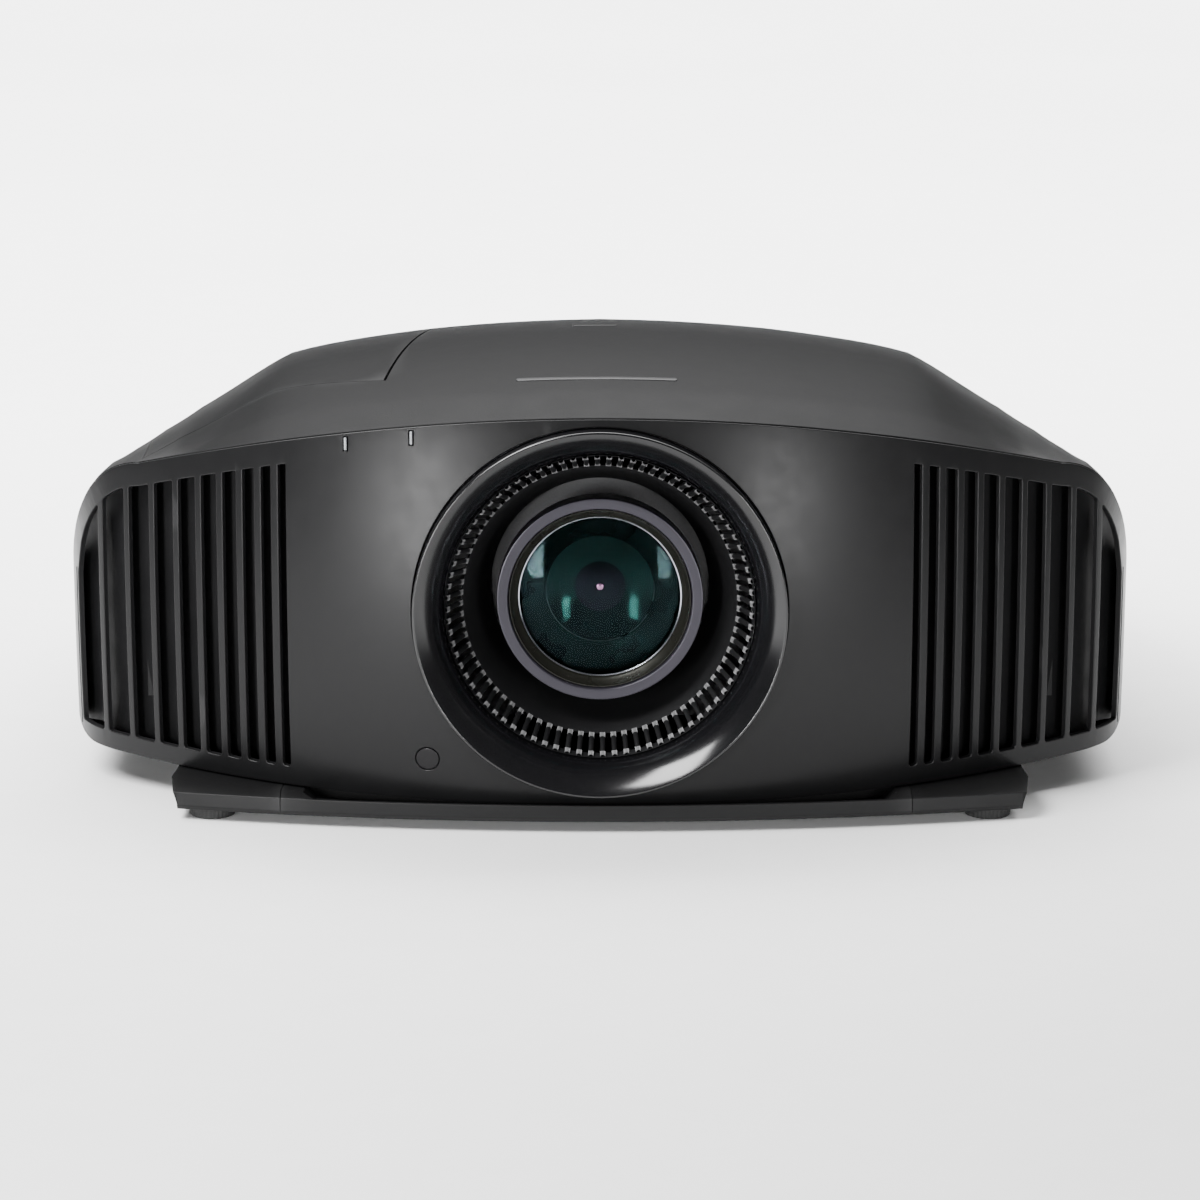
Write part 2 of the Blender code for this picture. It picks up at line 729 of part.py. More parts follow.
def make_vent_ring():
    """Radial fins on a rail, and the cone that leads from the rail into the throat."""
    rail = (BAND_INNER[0] + 0.0012, BAND_INNER[1] - 0.0023)
    front = [THROAT, BAND_INNER, rail, BAND_OUTER]
    back = [(THROAT[0] + 0.0021, THROAT[1] + 0.0008), (BAND_INNER[0] + 0.0015, BAND_INNER[1] + 0.0030),
            (rail[0], rail[1] + 0.0045), (BAND_OUTER[0], BAND_OUTER[1] + 0.0040)]
    points = []
    for step in range(2 * TEETH):
        turn = 2 * math.pi * (step // 2 + 0.46 * (step % 2)) / TEETH
        for radius, y in front + back:
            points.append((radius * math.cos(turn), y, AXIS_Z + radius * math.sin(turn)))
    faces = []

    def quad(one, two, a, b):
        faces.append((one * 8 + a, one * 8 + b, two * 8 + b, two * 8 + a))
    for step in range(2 * TEETH):
        after = (step + 1) % (2 * TEETH)
        for a, b in ((0, 1), (1, 2), (4, 5), (5, 6), (0, 4)):
            quad(step, after, a, b)
        if step % 2 == 0:
            for a, b in ((2, 3), (6, 7), (3, 7)):
                quad(step, after, a, b)
        else:
            quad(step, after, 2, 6)
        faces.append((step * 8 + 2, step * 8 + 3, step * 8 + 7, step * 8 + 6))
    add_object("vent_ring", points, faces, "matte")


def make_lens():
    barrel = [(HOOD_R - 0.0006, -0.1980), (HOOD_R, -0.1974), (HOOD_R, -0.1860), (NECK_R, -0.1780),
              (NECK_R, -0.1110), (TAIL_R, -0.1110), (TAIL_R, -0.0600), (TAIL_R - 0.0025, -0.0600),
              (TAIL_R - 0.0025, -0.1135), (NECK_R - 0.0025, -0.1135), (NECK_R - 0.0025, -0.1838),
              (0.0412, -0.1838), (0.0412, -0.1925), (0.0425, -0.1980)]
    turned("lens_barrel", barrel, AXIS, "Y", "rim", 32)

    def bowl(reach, vertex, rise, count):
        return [(reach * step / count, vertex + rise * (step / count) ** 2) for step in range(count + 1)]
    front = bowl(0.0400, -0.1950, 0.0065, 5)
    back = bowl(0.0360, -0.1900, 0.0040, 4)[::-1]
    turned("front_glass", front + [(0.0400, -0.1860)] + back, AXIS, "Y", "glass", 28, (0.0, -0.186, AXIS_Z))
    tube = [(0.0375, -0.1857), (0.0375, -0.1250), (0.0345, -0.1250), (0.0345, -0.1857)]
    turned("focus_tube", tube, AXIS, "Y", "matte", 24, (0.0, -0.1857, AXIS_Z))
    front = bowl(0.0310, -0.0720, 0.0030, 3)
    back = bowl(0.0310, -0.0640, -0.0030, 3)[::-1]
    turned("rear_glass", front + back, AXIS, "Y", "glass", 20)
    for name, low, side in (("focus", -0.160, 1), ("zoom", -0.142, -1)):
        ring = [(NECK_R + 0.0005, low), (GEAR_RING_R, low), (GEAR_RING_R, low + 0.012),
                (NECK_R + 0.0005, low + 0.012)]
        turned(name + "_ring", ring, AXIS, "Y", "white", 32, (0.0, low, AXIS_Z))
        reach = GEAR_RING_R + PINION_R + 0.0005
        turn = math.radians(20)
        place = (side * reach * math.cos(turn), 0.0, AXIS_Z - reach * math.sin(turn))
        pinion = [(0.0, low - 0.001), (PINION_R, low - 0.001), (PINION_R, low + 0.013), (0.0025, low + 0.013),
                  (0.0025, -0.1073), (0.0, -0.1073)]
        turned(name + "_pinion", pinion, place, "Y", "brass", 16, (place[0], low, place[2]))


def make_shift():
    """Three stacked plates: one fixed, one that rises, and one on it that slides across with the lens."""
    across = box("shift_carriage_h", (-0.066, -0.1070, AXIS_Z - 0.062), (0.066, -0.1010, AXIS_Z + 0.062),
                 "metal", (0.0, -0.104, AXIS_Z))
    cut(across, rod("hole_h", TAIL_R + 0.0005, -0.12, -0.09, AXIS, "Y", "matte", 32))
    lugs = boxes("lugs_h", [((side * 0.0425 - 0.002, -0.1075, 0.1645), (side * 0.0425 + 0.002, -0.0970, 0.1705))
                            for side in (-1, 1)])
    upright = box("shift_carriage_v", (-0.068, -0.1005, AXIS_Z - 0.058), (0.068, -0.0955, 0.1710),
                  "metal", (0.0, -0.098, AXIS_Z))
    join(upright, lugs)
    cut(upright, rod("hole_v", TAIL_R + SHIFT_H + 0.003, -0.12, -0.09, AXIS, "Y", "matte", 32))
    fixed = box("shift_plate", (-0.078, -0.0950, 0.0195), (0.078, -0.0900, 0.1780), "metal")
    arms = boxes("arms", [((0.0690, -0.1020, z), (0.0780, -0.0930, z + 0.004)) for z in (0.0250, 0.1730)])
    join(fixed, arms)
    cut(fixed, rod("hole_f", TAIL_R + 0.0125, -0.12, -0.08, AXIS, "Y", "matte", 32))
    rod("shift_screw_v", 0.003, 0.0294, 0.1726, (0.0735, -0.0985, 0.0), "Z", "brass", 12,
        (0.0735, -0.0985, AXIS_Z))
    rod("shift_screw_h", 0.0025, -0.0401, 0.0401, (0.0, -0.1042, 0.1675), "X", "brass", 12,
        (0.0, -0.1042, 0.1675))


# ---------------------------------------------------------------- light path, fans and boards

def make_light_path():
    cx, cz = -0.150, 0.105
    half = 0.038
    room = half - WALL
    housing = box("lamp_housing", (cx - half, -0.1250, cz - half), (cx + half, -0.0460, cz + half), "matte")
    cut(housing, box("lamp_room", (cx - room, -0.1225, cz - room), (cx + room, -0.0400, cz + room), "matte"))
    grip = box("lamp_grip", (cx - 0.020, -0.090, cz + 0.037), (cx + 0.020, -0.084, cz + 0.052), "matte")
    cut(grip, box("grip_hole", (cx - 0.014, -0.10, cz + 0.0385), (cx + 0.014, -0.07, cz + 0.047), "matte"))
    join(housing, grip)
    bowl = [(0.033 * math.sqrt(step / 5), -0.0950 + 0.044 * step / 5) for step in range(1, 6)]
    shell = [(0.006, -0.1180), (0.008, -0.1180), (0.008, -0.0975)]
    shell += [(radius + 0.0018, y - 0.0006) for radius, y in bowl]
    shell += bowl[::-1] + [(0.006, -0.0930)]
    turned("lamp_reflector", shell, (cx, 0.0, cz), "Y", "mirror", 16)
    outer = [(-0.186, -0.042), (-0.114, -0.042), (-0.114, 0.020), (0.040, 0.020), (0.040, 0.080),
             (-0.186, 0.080)]
    duct = prism("optics_housing", outer, 0.066, 0.128, "Z", "matte")
    inner = [(-0.1835, -0.060), (-0.1165, -0.060), (-0.1165, 0.0225), (-0.020, 0.0225), (-0.020, 0.010),
             (0.020, 0.010), (0.020, 0.0225), (0.0375, 0.0225), (0.0375, 0.0775), (-0.1835, 0.0775)]
    cut(duct, prism("duct_room", inner, 0.0685, 0.1255, "Z", "matte"))
    block = box("prism_block", (-0.020, -0.052, AXIS_Z - 0.020), (0.020, -0.012, AXIS_Z + 0.020), "glass")
    panels = [((place - 0.004, -0.046, AXIS_Z - 0.015), (place + 0.004, -0.018, AXIS_Z + 0.015))
              for place in (-0.0235, 0.0235)]
    join(block, boxes("panels", panels))


def make_fan(label, side):
    cx, cz = side * 0.170, 0.085
    half = 0.040
    low, high = -0.1550, -0.1350
    frame = box("fan_frame_" + label, (cx - half, low, cz - half), (cx + half, high, cz + half), "matte")
    cut(frame, rod("fan_bore_" + label, 0.0375, low - 0.01, high - 0.0025, (cx, 0.0, cz), "Y", "matte", 32))
    openings = []
    for quarter in range(4):
        turn = math.pi / 4 + quarter * math.pi / 2
        x, z = cx + 0.0245 * math.cos(turn), cz + 0.0245 * math.sin(turn)
        openings.append(((x - 0.0135, high - 0.01, z - 0.0135), (x + 0.0135, high + 0.01, z + 0.0135)))
    cut(frame, boxes("fan_gaps_" + label, openings))
    hub = [(0.0, low + 0.003), (0.0130, low + 0.003), (0.0140, low + 0.004), (0.0140, high - 0.0035),
           (0.0, high - 0.0035)]
    wheel = turned("fan_impeller_" + label, hub, (cx, 0.0, cz), "Y", "matte", 20, (cx, -0.146, cz))
    points, faces = [], []
    for blade in range(7):
        turn = 2 * math.pi * blade / 7
        faces += box_faces(len(points))
        for y in (low + 0.0035, high - 0.0045):
            lead = 0.16 if y < -0.145 else -0.16
            for radius, spread in ((0.0125, -0.09), (0.0365, -0.03), (0.0365, 0.03), (0.0125, 0.09)):
                angle = turn + lead + spread * 0.6
                points.append((cx + radius * math.cos(angle), y, cz + radius * math.sin(angle)))
    join(wheel, add_object("blades_" + label, points, faces, "matte", smooth=False))


def make_boards():
    base = box("power_supply", (-0.205, 0.092, 0.0220), (-0.095, 0.180, 0.0250), "board")
    join(base, boxes("supply_parts", [
        ((-0.200, 0.100, 0.024), (-0.165, 0.130, 0.050)),
        ((-0.155, 0.100, 0.024), (-0.150, 0.172, 0.046)),
        ((-0.138, 0.110, 0.024), (-0.104, 0.150, 0.040)),
        ((-0.195, 0.140, 0.024), (-0.175, 0.172, 0.044))]))
    board = box("main_board", (0.092, -0.080, 0.0300), (0.214, 0.140, 0.0318), "board")
    starts = [0.120 + 0.006 * step for step in range(8)]
    fins = [((start, 0.010, 0.0345), (start + 0.002, 0.050, 0.0480)) for start in starts]
    join(board, boxes("board_parts", [
        ((0.118, 0.008, 0.0310), (0.166, 0.052, 0.0350)),
        ((0.110, -0.060, 0.0310), (0.135, -0.035, 0.0345)),
        ((0.150, -0.055, 0.0310), (0.170, -0.035, 0.0340))]), boxes("board_fins", fins))
    folds = 12
    low_x, high_x = -0.105, 0.105
    step = (high_x - low_x) / folds
    zigzag = [(low_x + step * k, 0.2105 + (0.0060 if k % 2 else 0.0)) for k in range(folds + 1)]
    thick = [(x, y + 0.0015) for x, y in zigzag[::-1]]
    prism("air_filter", zigzag + thick, 0.030, 0.112, "Z", "white")


# ---------------------------------------------------------------- sockets

def make_terminal_tray():
    def skin(y):
        return side_half(y) - WALL - 0.0006
    (y0, y1), (z0, z1) = TRAY_Y, TRAY_Z
    middle = (y0 + y1) / 2
    floor_x = TRAY_FLOOR_X - 0.002
    outline = [(floor_x, y0), (skin(y0), y0), (skin(middle), middle), (skin(y1), y1), (floor_x, y1)]
    tray = prism("terminal_tray", outline, z0, z1, "Z", "shell")
    cut(tray, box("tray_room", (TRAY_FLOOR_X, y0 + 0.002, z0 + 0.002), (0.26, y1 - 0.002, z1 - 0.002), "matte"))
    return tray


def socket(name, y, z, width, height, depth, hole_width, hole_height, hole_depth, finish):
    """A block with its mouth at the tray's floor, open along +X."""
    mouth = TRAY_FLOOR_X + 0.0010
    block = box(name, (mouth - depth, y - width / 2, z - height / 2),
                (mouth, y + width / 2, z + height / 2), finish)
    cut(block, box(name + "_room", (mouth - hole_depth, y - hole_width / 2, z - hole_height / 2),
                   (mouth + 0.01, y + hole_width / 2, z + hole_height / 2), "matte"))
    opening = 0.0003
    return ((0.19, y - width / 2 - opening, z - height / 2 - opening),
            (0.23, y + width / 2 + opening, z + height / 2 + opening))


def make_sockets():
    tray = make_terminal_tray()
    holes = [
        socket("display_socket_1", -0.058, 0.0790, 0.0160, 0.0066, 0.0130, 0.0140, 0.0046, 0.0110, "metal"),
        socket("display_socket_2", -0.058, 0.0630, 0.0160, 0.0066, 0.0130, 0.0140, 0.0046, 0.0110, "metal"),
        socket("network_socket", -0.034, 0.0650, 0.0160, 0.0135, 0.0180, 0.0119, 0.0080, 0.0130, "metal"),
        socket("service_socket", -0.034, 0.0805, 0.0146, 0.0073, 0.0150, 0.0125, 0.0052, 0.0120, "metal"),
    ]
    mouth = TRAY_FLOOR_X + 0.0010
    serial = box("serial_socket", (mouth - 0.0100, -0.0200, 0.0575), (mouth, 0.0110, 0.0700), "metal")
    shell = [(-0.0127, 0.0680), (0.0037, 0.0680), (0.0027, 0.0598), (-0.0117, 0.0598)]
    join(serial, prism("serial_shell", shell, mouth - 0.001, mouth + 0.0055, "X", "metal"))
    holes.append(((0.19, -0.0203, 0.0572), (0.23, 0.0113, 0.0703)))
    jacks = box("jack_block", (mouth - 0.0110, -0.0190, 0.0745), (mouth, 0.0100, 0.0835), "matte")
    for step in range(3):
        cut(jacks, rod("jack_hole_%d" % step, 0.00175, mouth - 0.0100, mouth + 0.01,
                       (0.0, -0.0140 + 0.0095 * step, 0.0790), "X", "matte", 12))
    holes.append(((0.19, -0.0193, 0.0742), (0.23, 0.0103, 0.0838)))
    holes.append(make_mains_inlet(mouth))
    cut(tray, boxes("socket_holes", holes))


MAINS = (0.0400, 0.0705)


def make_mains_inlet(mouth):
    y, z = MAINS
    body = box("mains_inlet", (mouth - 0.0190, y - 0.0155, z - 0.0110), (mouth, y + 0.0155, z + 0.0110),
               "matte")
    outline = [(y - 0.0122, z - 0.0083), (y + 0.0122, z - 0.0083), (y + 0.0122, z + 0.0030),
               (y + 0.0072, z + 0.0083), (y - 0.0072, z + 0.0083), (y - 0.0122, z + 0.0030)]
    cut(body, prism("mains_room", outline, mouth - 0.0165, mouth + 0.01, "X", "matte"))
    pins = [((mouth - 0.0175, y + across - 0.0010, z + up - 0.0020),
             (mouth - 0.0040, y + across + 0.0010, z + up + 0.0020))
            for across, up in ((-0.0070, -0.0020), (0.0070, -0.0020), (0.0, 0.0025))]
    join(body, boxes("pins", pins))
    return ((0.19, y - 0.0158, z - 0.0113), (0.23, y + 0.0158, z + 0.0113))


# ---------------------------------------------------------------- keys

KEYS = {
    "power_key": (-0.062, 0.0740, 0.0090, 0.0090),
    "input_key": (-0.044, 0.0800, 0.0100, 0.0055),
    "menu_key": (-0.044, 0.0680, 0.0100, 0.0055),
    "lens_key": (-0.027, 0.0740, 0.0100, 0.0055),
    "up_key": (0.008, 0.0840, 0.0070, 0.0055),
    "down_key": (0.008, 0.0640, 0.0070, 0.0055),
    "left_key": (-0.005, 0.0740, 0.0055, 0.0070),
    "right_key": (0.021, 0.0740, 0.0055, 0.0070),
    "enter_key": (0.008, 0.0740, 0.0080, 0.0080),
}


def make_keys():
    panel = box("key_panel", (KEY_PANEL_X, KEYS_Y[0], KEYS_Z[0]), (KEY_PANEL_X + 0.002, KEYS_Y[1], KEYS_Z[1]),
                "shell")
    holes = []
    for name, (y, z, width, height) in KEYS.items():
        low = (KEY_PANEL_X - 0.0018, y - width / 2, z - height / 2)
        high = (KEY_PANEL_X + 0.0040, y + width / 2, z + height / 2)
        box(name, low, high, "matte", (KEY_PANEL_X, y, z), bevel=0.0006)
        gap = 0.00035
        holes.append(((KEY_PANEL_X - 0.01, low[1] - gap, low[2] - gap),
                      (KEY_PANEL_X + 0.01, high[1] + gap, high[2] + gap)))
    cut(panel, boxes("key_holes", holes))


def main():
    clear_scene()
    make_roof()
    make_face()
    make_pan()
    make_tray()
    make_back()
    make_lens_ring()
    make_vent_ring()
    make_lens()
    make_shift()
    make_light_path()
    make_fan("left", -1)
    make_fan("right", 1)
    make_boards()
    make_sockets()
    make_keys()


main()
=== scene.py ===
"""Looks of a home cinema projector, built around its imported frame.

Metres, +Z up, the lens looks along -Y. Left and right are as seen from the front: left is -X.
"""

import json
import math

import bmesh
import bpy
import numpy as np
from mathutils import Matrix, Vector
from mathutils.geometry import delaunay_2d_cdt
from mathutils.kdtree import KDTree


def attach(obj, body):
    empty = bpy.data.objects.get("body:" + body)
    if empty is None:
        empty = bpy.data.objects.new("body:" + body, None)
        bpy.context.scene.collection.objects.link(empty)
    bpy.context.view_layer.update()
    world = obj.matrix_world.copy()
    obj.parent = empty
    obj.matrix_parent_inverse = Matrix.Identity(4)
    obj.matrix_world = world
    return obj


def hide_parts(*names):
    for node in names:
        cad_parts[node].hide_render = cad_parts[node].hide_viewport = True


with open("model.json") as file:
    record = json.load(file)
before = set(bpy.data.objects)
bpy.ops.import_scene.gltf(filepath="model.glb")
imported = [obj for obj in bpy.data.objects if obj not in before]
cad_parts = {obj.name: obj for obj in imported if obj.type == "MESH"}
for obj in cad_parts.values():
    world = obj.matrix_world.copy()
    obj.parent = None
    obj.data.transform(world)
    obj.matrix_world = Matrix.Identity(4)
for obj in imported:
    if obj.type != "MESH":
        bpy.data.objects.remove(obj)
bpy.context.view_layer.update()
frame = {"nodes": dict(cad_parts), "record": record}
NODES = frame["nodes"]

# The case: the same driving dimensions as its solids
WIDTH, DEPTH, HEIGHT = 0.4956, 0.4636, 0.2053
HALF, FRONT, BACK = WIDTH / 2, -DEPTH / 2, DEPTH / 2
WALL, GAP = 0.0025, 0.0005
FACE_RADIUS, FACE_CORNER_X = 0.38, 0.225
BULGE_HEIGHT, BULGE_RADIUS = 0.100, 0.44
FACE_TOP, FACE_BOTTOM = 0.189, 0.0111
CORNER_X = 0.212
CORNER_CENTRE = (0.205, 0.088)
CORNER_REACH = (HALF - 0.205, 0.0694)
CORNER_POWER = 2.4
LOW_CORNER = 0.0118
BACK_RADIUS, BACK_CORNER_X, BACK_HALF = 1.2, 0.192, 0.228
TAPER_START = -0.06
CROWN = 1.4
SHOULDER_X, SHOULDER_SLOPE, SHOULDER_END = 0.150, 0.65, 0.238
PEAK_Y, RISE_RADIUS, FALL_RADIUS, FALL_SLOPE = -0.110, 0.404, 0.609, 0.25
SEAM_Z, PAN_Z, PAN_SETBACK = 0.046, 0.0165, 0.0015
TRAY_BOTTOM, TRAY_TOP, TRAY_RADIUS = 0.005, 0.0160, 0.85
TRAY_FRONT, TRAY_BACK, TRAY_HALF = -0.2295, 0.205, 0.198
CHIN_TOP, CHIN_HALF = 0.0130, 0.130
SLOTS, SLOT_OUTER_X = 10, 0.2435
SLOT_WIDTH, SLOT_WIDTH_STEP = 0.0116, 0.0009
FIN_WIDTH, FIN_WIDTH_STEP = 0.0024, 0.00014
SLOT_TOP_MARGIN, SLOT_BOTTOM_MARGIN = 0.0105, 0.0090
AXIS_Z, RING_R = 0.101, 0.084
BAND_OUTER, BAND_INNER, THROAT = (0.0699, -0.2133), (0.0612, -0.1964), (0.0500, -0.1670)
TEETH = 80
FRONT_FOOT, REAR_FOOT, FOOT_R, POCKET_R, POCKET_Z = (0.1775, -0.1968), (0.150, 0.170), 0.0105, 0.0117, 0.0080
TRAY_Y, TRAY_Z, TRAY_FLOOR_X = (-0.075, 0.065), (0.052, 0.089), 0.2215
KEYS_Y, KEYS_Z, KEY_PANEL_X = (-0.075, 0.035), (0.056, 0.092), -0.2385
LAMP_COVER = ((-0.0990, -0.1560), (-0.0757, 0.0200), (-0.2150, 0.0200), (-0.2150, -0.1050))
LAMP_SCREW, LAMP_SEAT, SCREW_POCKET_R = (-0.120, 0.008), 0.1765, 0.0052
STATUS_LIGHTS = ((-0.1138, 0.1722, 0.1778), (-0.0841, 0.1763, 0.1820))
LIGHT_OPENING = 0.00095
WINDOW_PLACE, WINDOW_R = (-0.078, 0.032), 0.0052
AXIS = (0.0, 0.0, AXIS_Z)


# ---------------------------------------------------------------- materials

def material(name, colour, roughness, metallic=0.0, grain=(900.0, 0.00003), mottle=0.12, spread=0.06,
             wear=0.0, gloss=0.5, **sockets):
    """A principled finish with mottled colour, uneven roughness, a fine bump and lighter worn edges."""
    made = bpy.data.materials.new(name)
    made.use_nodes = True
    tree = made.node_tree
    shader = tree.nodes["Principled BSDF"]
    shader.inputs["Metallic"].default_value = metallic
    shader.inputs["Specular IOR Level"].default_value = gloss
    for socket, value in sockets.items():
        shader.inputs[socket.replace("_", " ")].default_value = value
    place = tree.nodes.new("ShaderNodeTexCoord").outputs["Object"]

    def noise(scale, detail):
        node = tree.nodes.new("ShaderNodeTexNoise")
        node.inputs["Scale"].default_value = scale
        node.inputs["Detail"].default_value = detail
        tree.links.new(place, node.inputs["Vector"])
        return node.outputs["Fac"]

    def spanned(source, low, high, from_low=0.3, from_high=0.7):
        node = tree.nodes.new("ShaderNodeMapRange")
        node.inputs["From Min"].default_value = from_low
        node.inputs["From Max"].default_value = from_high
        node.inputs["To Min"].default_value = low
        node.inputs["To Max"].default_value = high
        tree.links.new(source, node.inputs["Value"])
        return node.outputs["Result"]

    def mixed(factor, one, two):
        node = tree.nodes.new("ShaderNodeMix")
        node.data_type = "RGBA"
        tree.links.new(factor, node.inputs["Factor"])
        for socket, value in ((node.inputs["A"], one), (node.inputs["B"], two)):
            if isinstance(value, tuple):
                socket.default_value = (*value, 1.0)
            else:
                tree.links.new(value, socket)
        return node.outputs["Result"]

    def shade(amount):
        return tuple(channel * amount for channel in colour)

    scale, height = grain
    fine = noise(scale, 3.0)
    paint = mixed(spanned(fine, 0.0, 1.0), shade(1 - mottle), shade(1 + mottle))
    if wear:
        bend = tree.nodes.new("ShaderNodeNewGeometry").outputs["Pointiness"]
        edge = spanned(bend, 0.0, wear, 0.52, 0.60)
        paint = mixed(edge, paint, tuple(min(channel * 2.2 + 0.02, 1.0) for channel in colour))
    tree.links.new(paint, shader.inputs["Base Color"])
    low, high = max(roughness - spread, 0.0), min(roughness + spread, 1.0)
    tree.links.new(spanned(noise(scale * 0.04, 2.0), low, high), shader.inputs["Roughness"])
    bump = tree.nodes.new("ShaderNodeBump")
    bump.inputs["Strength"].default_value = 0.6
    bump.inputs["Distance"].default_value = height
    tree.links.new(fine, bump.inputs["Height"])
    if height:
        tree.links.new(bump.outputs["Normal"], shader.inputs["Normal"])
    return made


FINISHES = {
    "cover_shell": material("paint_grained", (0.0040, 0.0040, 0.0043), 0.52, grain=(1500.0, 0.00012),
                            mottle=0.30,
                            spread=0.015, wear=0.5, gloss=0.12),
    "front_shell": material("plastic_satin", (0.0046, 0.0046, 0.0049), 0.34, grain=(2600.0, 0.000012),
                            mottle=0.10, spread=0.02, wear=0.35, gloss=0.19),
    "case_shell": material("plastic_case", (0.0060, 0.0060, 0.0063), 0.50, grain=(1800.0, 0.00006),
                           wear=0.4, gloss=0.20),
    "base_shell": material("plastic_base", (0.0050, 0.0050, 0.0052), 0.48, grain=(1800.0, 0.00005),
                           spread=0.02, wear=0.4,
                           gloss=0.15),
    "ring_gloss": material("plastic_piano_black", (0.0035, 0.0035, 0.0040), 0.17, grain=(500.0, 0.000002),
                           spread=0.03, gloss=0.5),
    "inner_black": material("plastic_inner", (0.0060, 0.0060, 0.0065), 0.55, grain=(1600.0, 0.00004),
                            gloss=0.18),
    "lens_metal": material("anodised_rim", (0.030, 0.028, 0.036), 0.34, 0.40, grain=(2400.0, 0.00001),
                           mottle=0.06, gloss=0.30),
    "gear_plastic": material("plastic_gear", (0.040, 0.040, 0.042), 0.45),
    "cast_frame": material("cast_metal", (0.330, 0.330, 0.340), 0.45, 0.9, grain=(700.0, 0.00010)),
    "screw_steel": material("turned_steel", (0.560, 0.560, 0.570), 0.28, 1.0, grain=(1800.0, 0.00002)),
    "tray_plastic": material("plastic_tray", (0.014, 0.014, 0.015), 0.50, grain=(1700.0, 0.00005), wear=0.3),
    "socket_metal": material("plated_shell", (0.620, 0.620, 0.640), 0.24, 1.0, grain=(1500.0, 0.00001)),
    "light_guide": material("light_guide", (0.240, 0.250, 0.260), 0.30, spread=0.04,
                            Emission_Color=(0.80, 0.90, 1.0, 1.0), Emission_Strength=0.02),
    "dark_window": material("dark_window", (0.0048, 0.0044, 0.0050), 0.22, grain=(900.0, 0.000004),
                            spread=0.02,
                            gloss=0.20),
    "foot_rubber": material("rubber", (0.012, 0.012, 0.012), 0.80, grain=(1300.0, 0.00009), mottle=0.2),
    "lamp_mirror": material("coated_mirror", (0.780, 0.790, 0.820), 0.06, 1.0, grain=(300.0, 0.000003),
                            spread=0.03),
    "fan_plastic": material("plastic_fan", (0.016, 0.016, 0.017), 0.42),
    "sheet_steel": material("zinc_sheet", (0.480, 0.480, 0.470), 0.38, 1.0, grain=(220.0, 0.00002),
                            mottle=0.2),
    "circuit_board": material("solder_mask", (0.015, 0.085, 0.040), 0.34, grain=(420.0, 0.00006),
                              mottle=0.35),
    "filter_foam": material("filter_foam", (0.035, 0.035, 0.037), 0.95, grain=(900.0, 0.0004), mottle=0.5),
    "key_plastic": material("plastic_key", (0.030, 0.030, 0.032), 0.38, grain=(2200.0, 0.00002), wear=0.4),
    "lens_glass": material("coated_glass", (0.62, 0.74, 0.73), 0.0, grain=(60.0, 0.0), mottle=0.02,
                           spread=0.005, Transmission_Weight=1.0, IOR=1.13,
                           Specular_Tint=(0.55, 0.90, 1.0, 1.0)),
    "prism_glass": material("prism_glass", (0.60, 0.72, 0.72), 0.04, grain=(200.0, 0.000002), spread=0.03,
                            Transmission_Weight=0.5, IOR=1.52),
}
INLAY = material("inlay_grey", (0.022, 0.022, 0.023), 0.42, 0.3, grain=(2400.0, 0.00001))
MARK = material("mark_grey", (0.45, 0.45, 0.46), 0.50, grain=(2400.0, 0.00001))
# Painted highlight: a light grey for the bright dots of light caught at the vent fins' rounded ends.
FIN_TIP_HIGHLIGHT = material("fin_tip_painted_highlight", (0.110, 0.110, 0.112), 0.34, grain=(2000.0, 0.00001), wear=0.5)
OLIVE = material("retaining_ring", (0.016, 0.016, 0.013), 0.30, 0.5, grain=(2200.0, 0.00001),
                 gloss=0.30)
BRIGHT = material("polished_edge", (0.50, 0.52, 0.58), 0.20, 1.0, grain=(2200.0, 0.00001))
# Near black with a painted teal tint: painted reflection of the coated glass in front.
BARREL_REFLECTION_TINT = material("inner_barrel_teal_reflection", (0.0030, 0.0080, 0.0088), 0.30, 0.0, grain=(1800.0, 0.00001),
                gloss=0.14, Specular_Tint=(0.45, 0.90, 0.85, 1.0))
GOLD = material("contact_gold", (0.80, 0.58, 0.25), 0.25, 1.0, grain=(1500.0, 0.00001))
PALE = material("connector_white", (0.45, 0.45, 0.44), 0.45, grain=(1500.0, 0.00001))
# Painted shade and reflection: an opaque dark teal in place of a see-through element, standing for the
# shaded lens inside and the teal reflections of its coatings.
SHADED_GLASS_TINT = material("inner_glass_painted_shade_teal", (0.0030, 0.0060, 0.0066), 0.09, spread=0.02, grain=(60.0, 0.0),
                     mottle=0.02, gloss=0.12, Specular_Tint=(0.35, 0.95, 0.88, 1.0))
PINK_FILM = material("inner_glass_dark", (0.006, 0.005, 0.007), 0.06, spread=0.02, grain=(60.0, 0.0),
                     gloss=0.10, Specular_Tint=(0.8, 0.5, 0.9, 1.0))
# Painted reflection: a bright pink for the small pink glint at the lens's centre.
PINK = material("pink_glint_paint", (0.85, 0.30, 0.55), 0.20, 1.0, grain=(60.0, 0.0))


# ---------------------------------------------------------------- mesh helpers

